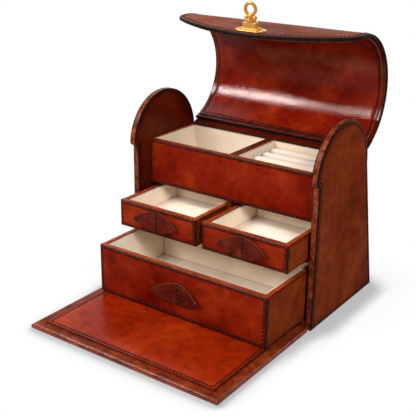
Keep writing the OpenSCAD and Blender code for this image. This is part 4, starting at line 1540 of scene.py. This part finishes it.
behind.inputs[1].default_value = (-math.sin(VIEW_TURN), math.cos(VIEW_TURN), 0.0)
tree.links.new(direction.outputs["Generated"], behind.inputs[0])
backdrop = map_range(tree, behind.outputs["Value"], BACKDROP_SPAN, NO_YES)
glossy = calculate(tree, "MULTIPLY", path.outputs["Is Glossy Ray"], backdrop)
seen = calculate(tree, "MAXIMUM", path.outputs["Is Camera Ray"], path.outputs["Is Transmission Ray"])
mix, output = tree.nodes.new("ShaderNodeMixShader"), tree.nodes.new("ShaderNodeOutputWorld")
tree.links.new(calculate(tree, "MAXIMUM", seen, glossy), mix.inputs["Fac"])
tree.links.new(room.outputs["Background"], mix.inputs[1])
tree.links.new(white.outputs["Background"], mix.inputs[2])
tree.links.new(mix.outputs["Shader"], output.inputs["Surface"])
print("room strength", ROOM_STRENGTHS[0], "and in the polish", ROOM_STRENGTHS[1])


# %% Lamps
def softbox(name, spot, target, size, power, roll=0.0, mirrored=True):
    lamp = bpy.data.lights.new(name, "AREA")
    lamp.shape = "RECTANGLE"
    lamp.size, lamp.size_y = size
    lamp.energy = power
    holder = add_object(name, lamp)
    holder.location = spot
    aim = (Vector(target) - Vector(spot)).to_track_quat("-Z", "Y")
    holder.rotation_euler = (aim @ Quaternion((0, 0, 1), math.radians(roll))).to_euler()
    holder.visible_glossy = mirrored


softbox("key", spot=(-0.61, -0.8, 1.0), target=(0, 0, 0.16), size=(0.62, 0.13), power=11.0, roll=12)
softbox("front", spot=(-0.36, -1.15, 0.85), target=(0, -0.05, 0.08), size=(0.6, 0.4), power=10.5,
        mirrored=False)
softbox("fill", spot=(1.0, -0.8, 1.0), target=(0, -0.03, 0.12), size=(0.45, 0.45), power=19.0,
        mirrored=False)
softbox("back", spot=(0.35, 1.2, 0.8), target=(0, 0.05, 0.1), size=(0.8, 0.6), power=5.0,
        mirrored=False)
print("lamps", [(lamp.name, lamp.energy) for lamp in bpy.data.lights])

# %% [markdown]
# ## Camera
# The view was fitted to the photograph's edges: it looks from the front right, a little from above, through
# a long lens, with a slight roll. A Track To constraint would keep it level, so its three axes are worked
# out and set as one rotation.

# %% Camera
LENS, SENSOR, VIEW_DISTANCE = 71.4, 36.0, 0.9522
VIEW_RISE, VIEW_ROLL = math.radians(21.02), math.radians(0.8)
view_target = at(-42.73, 40.0, 88.63)
level_reach, rise = math.cos(VIEW_RISE), math.sin(VIEW_RISE)
back = Vector((math.sin(VIEW_TURN) * level_reach, -math.cos(VIEW_TURN) * level_reach, rise))
level = Vector((math.cos(VIEW_TURN), math.sin(VIEW_TURN), 0))
upright = back.cross(level)
across = math.cos(VIEW_ROLL) * level + math.sin(VIEW_ROLL) * upright
camera_data = bpy.data.cameras.new("photograph view")
camera_data.lens, camera_data.sensor_width = LENS, SENSOR
camera = add_object("photograph view", camera_data)
camera.location = view_target + back * VIEW_DISTANCE
camera.rotation_euler = Matrix((across, back.cross(across), back)).transposed().to_euler()
scene.camera = camera
scene.view_settings.view_transform = "Standard"
print("camera stands", round(VIEW_DISTANCE, 2), "metres from the box, lens", LENS, "mm")
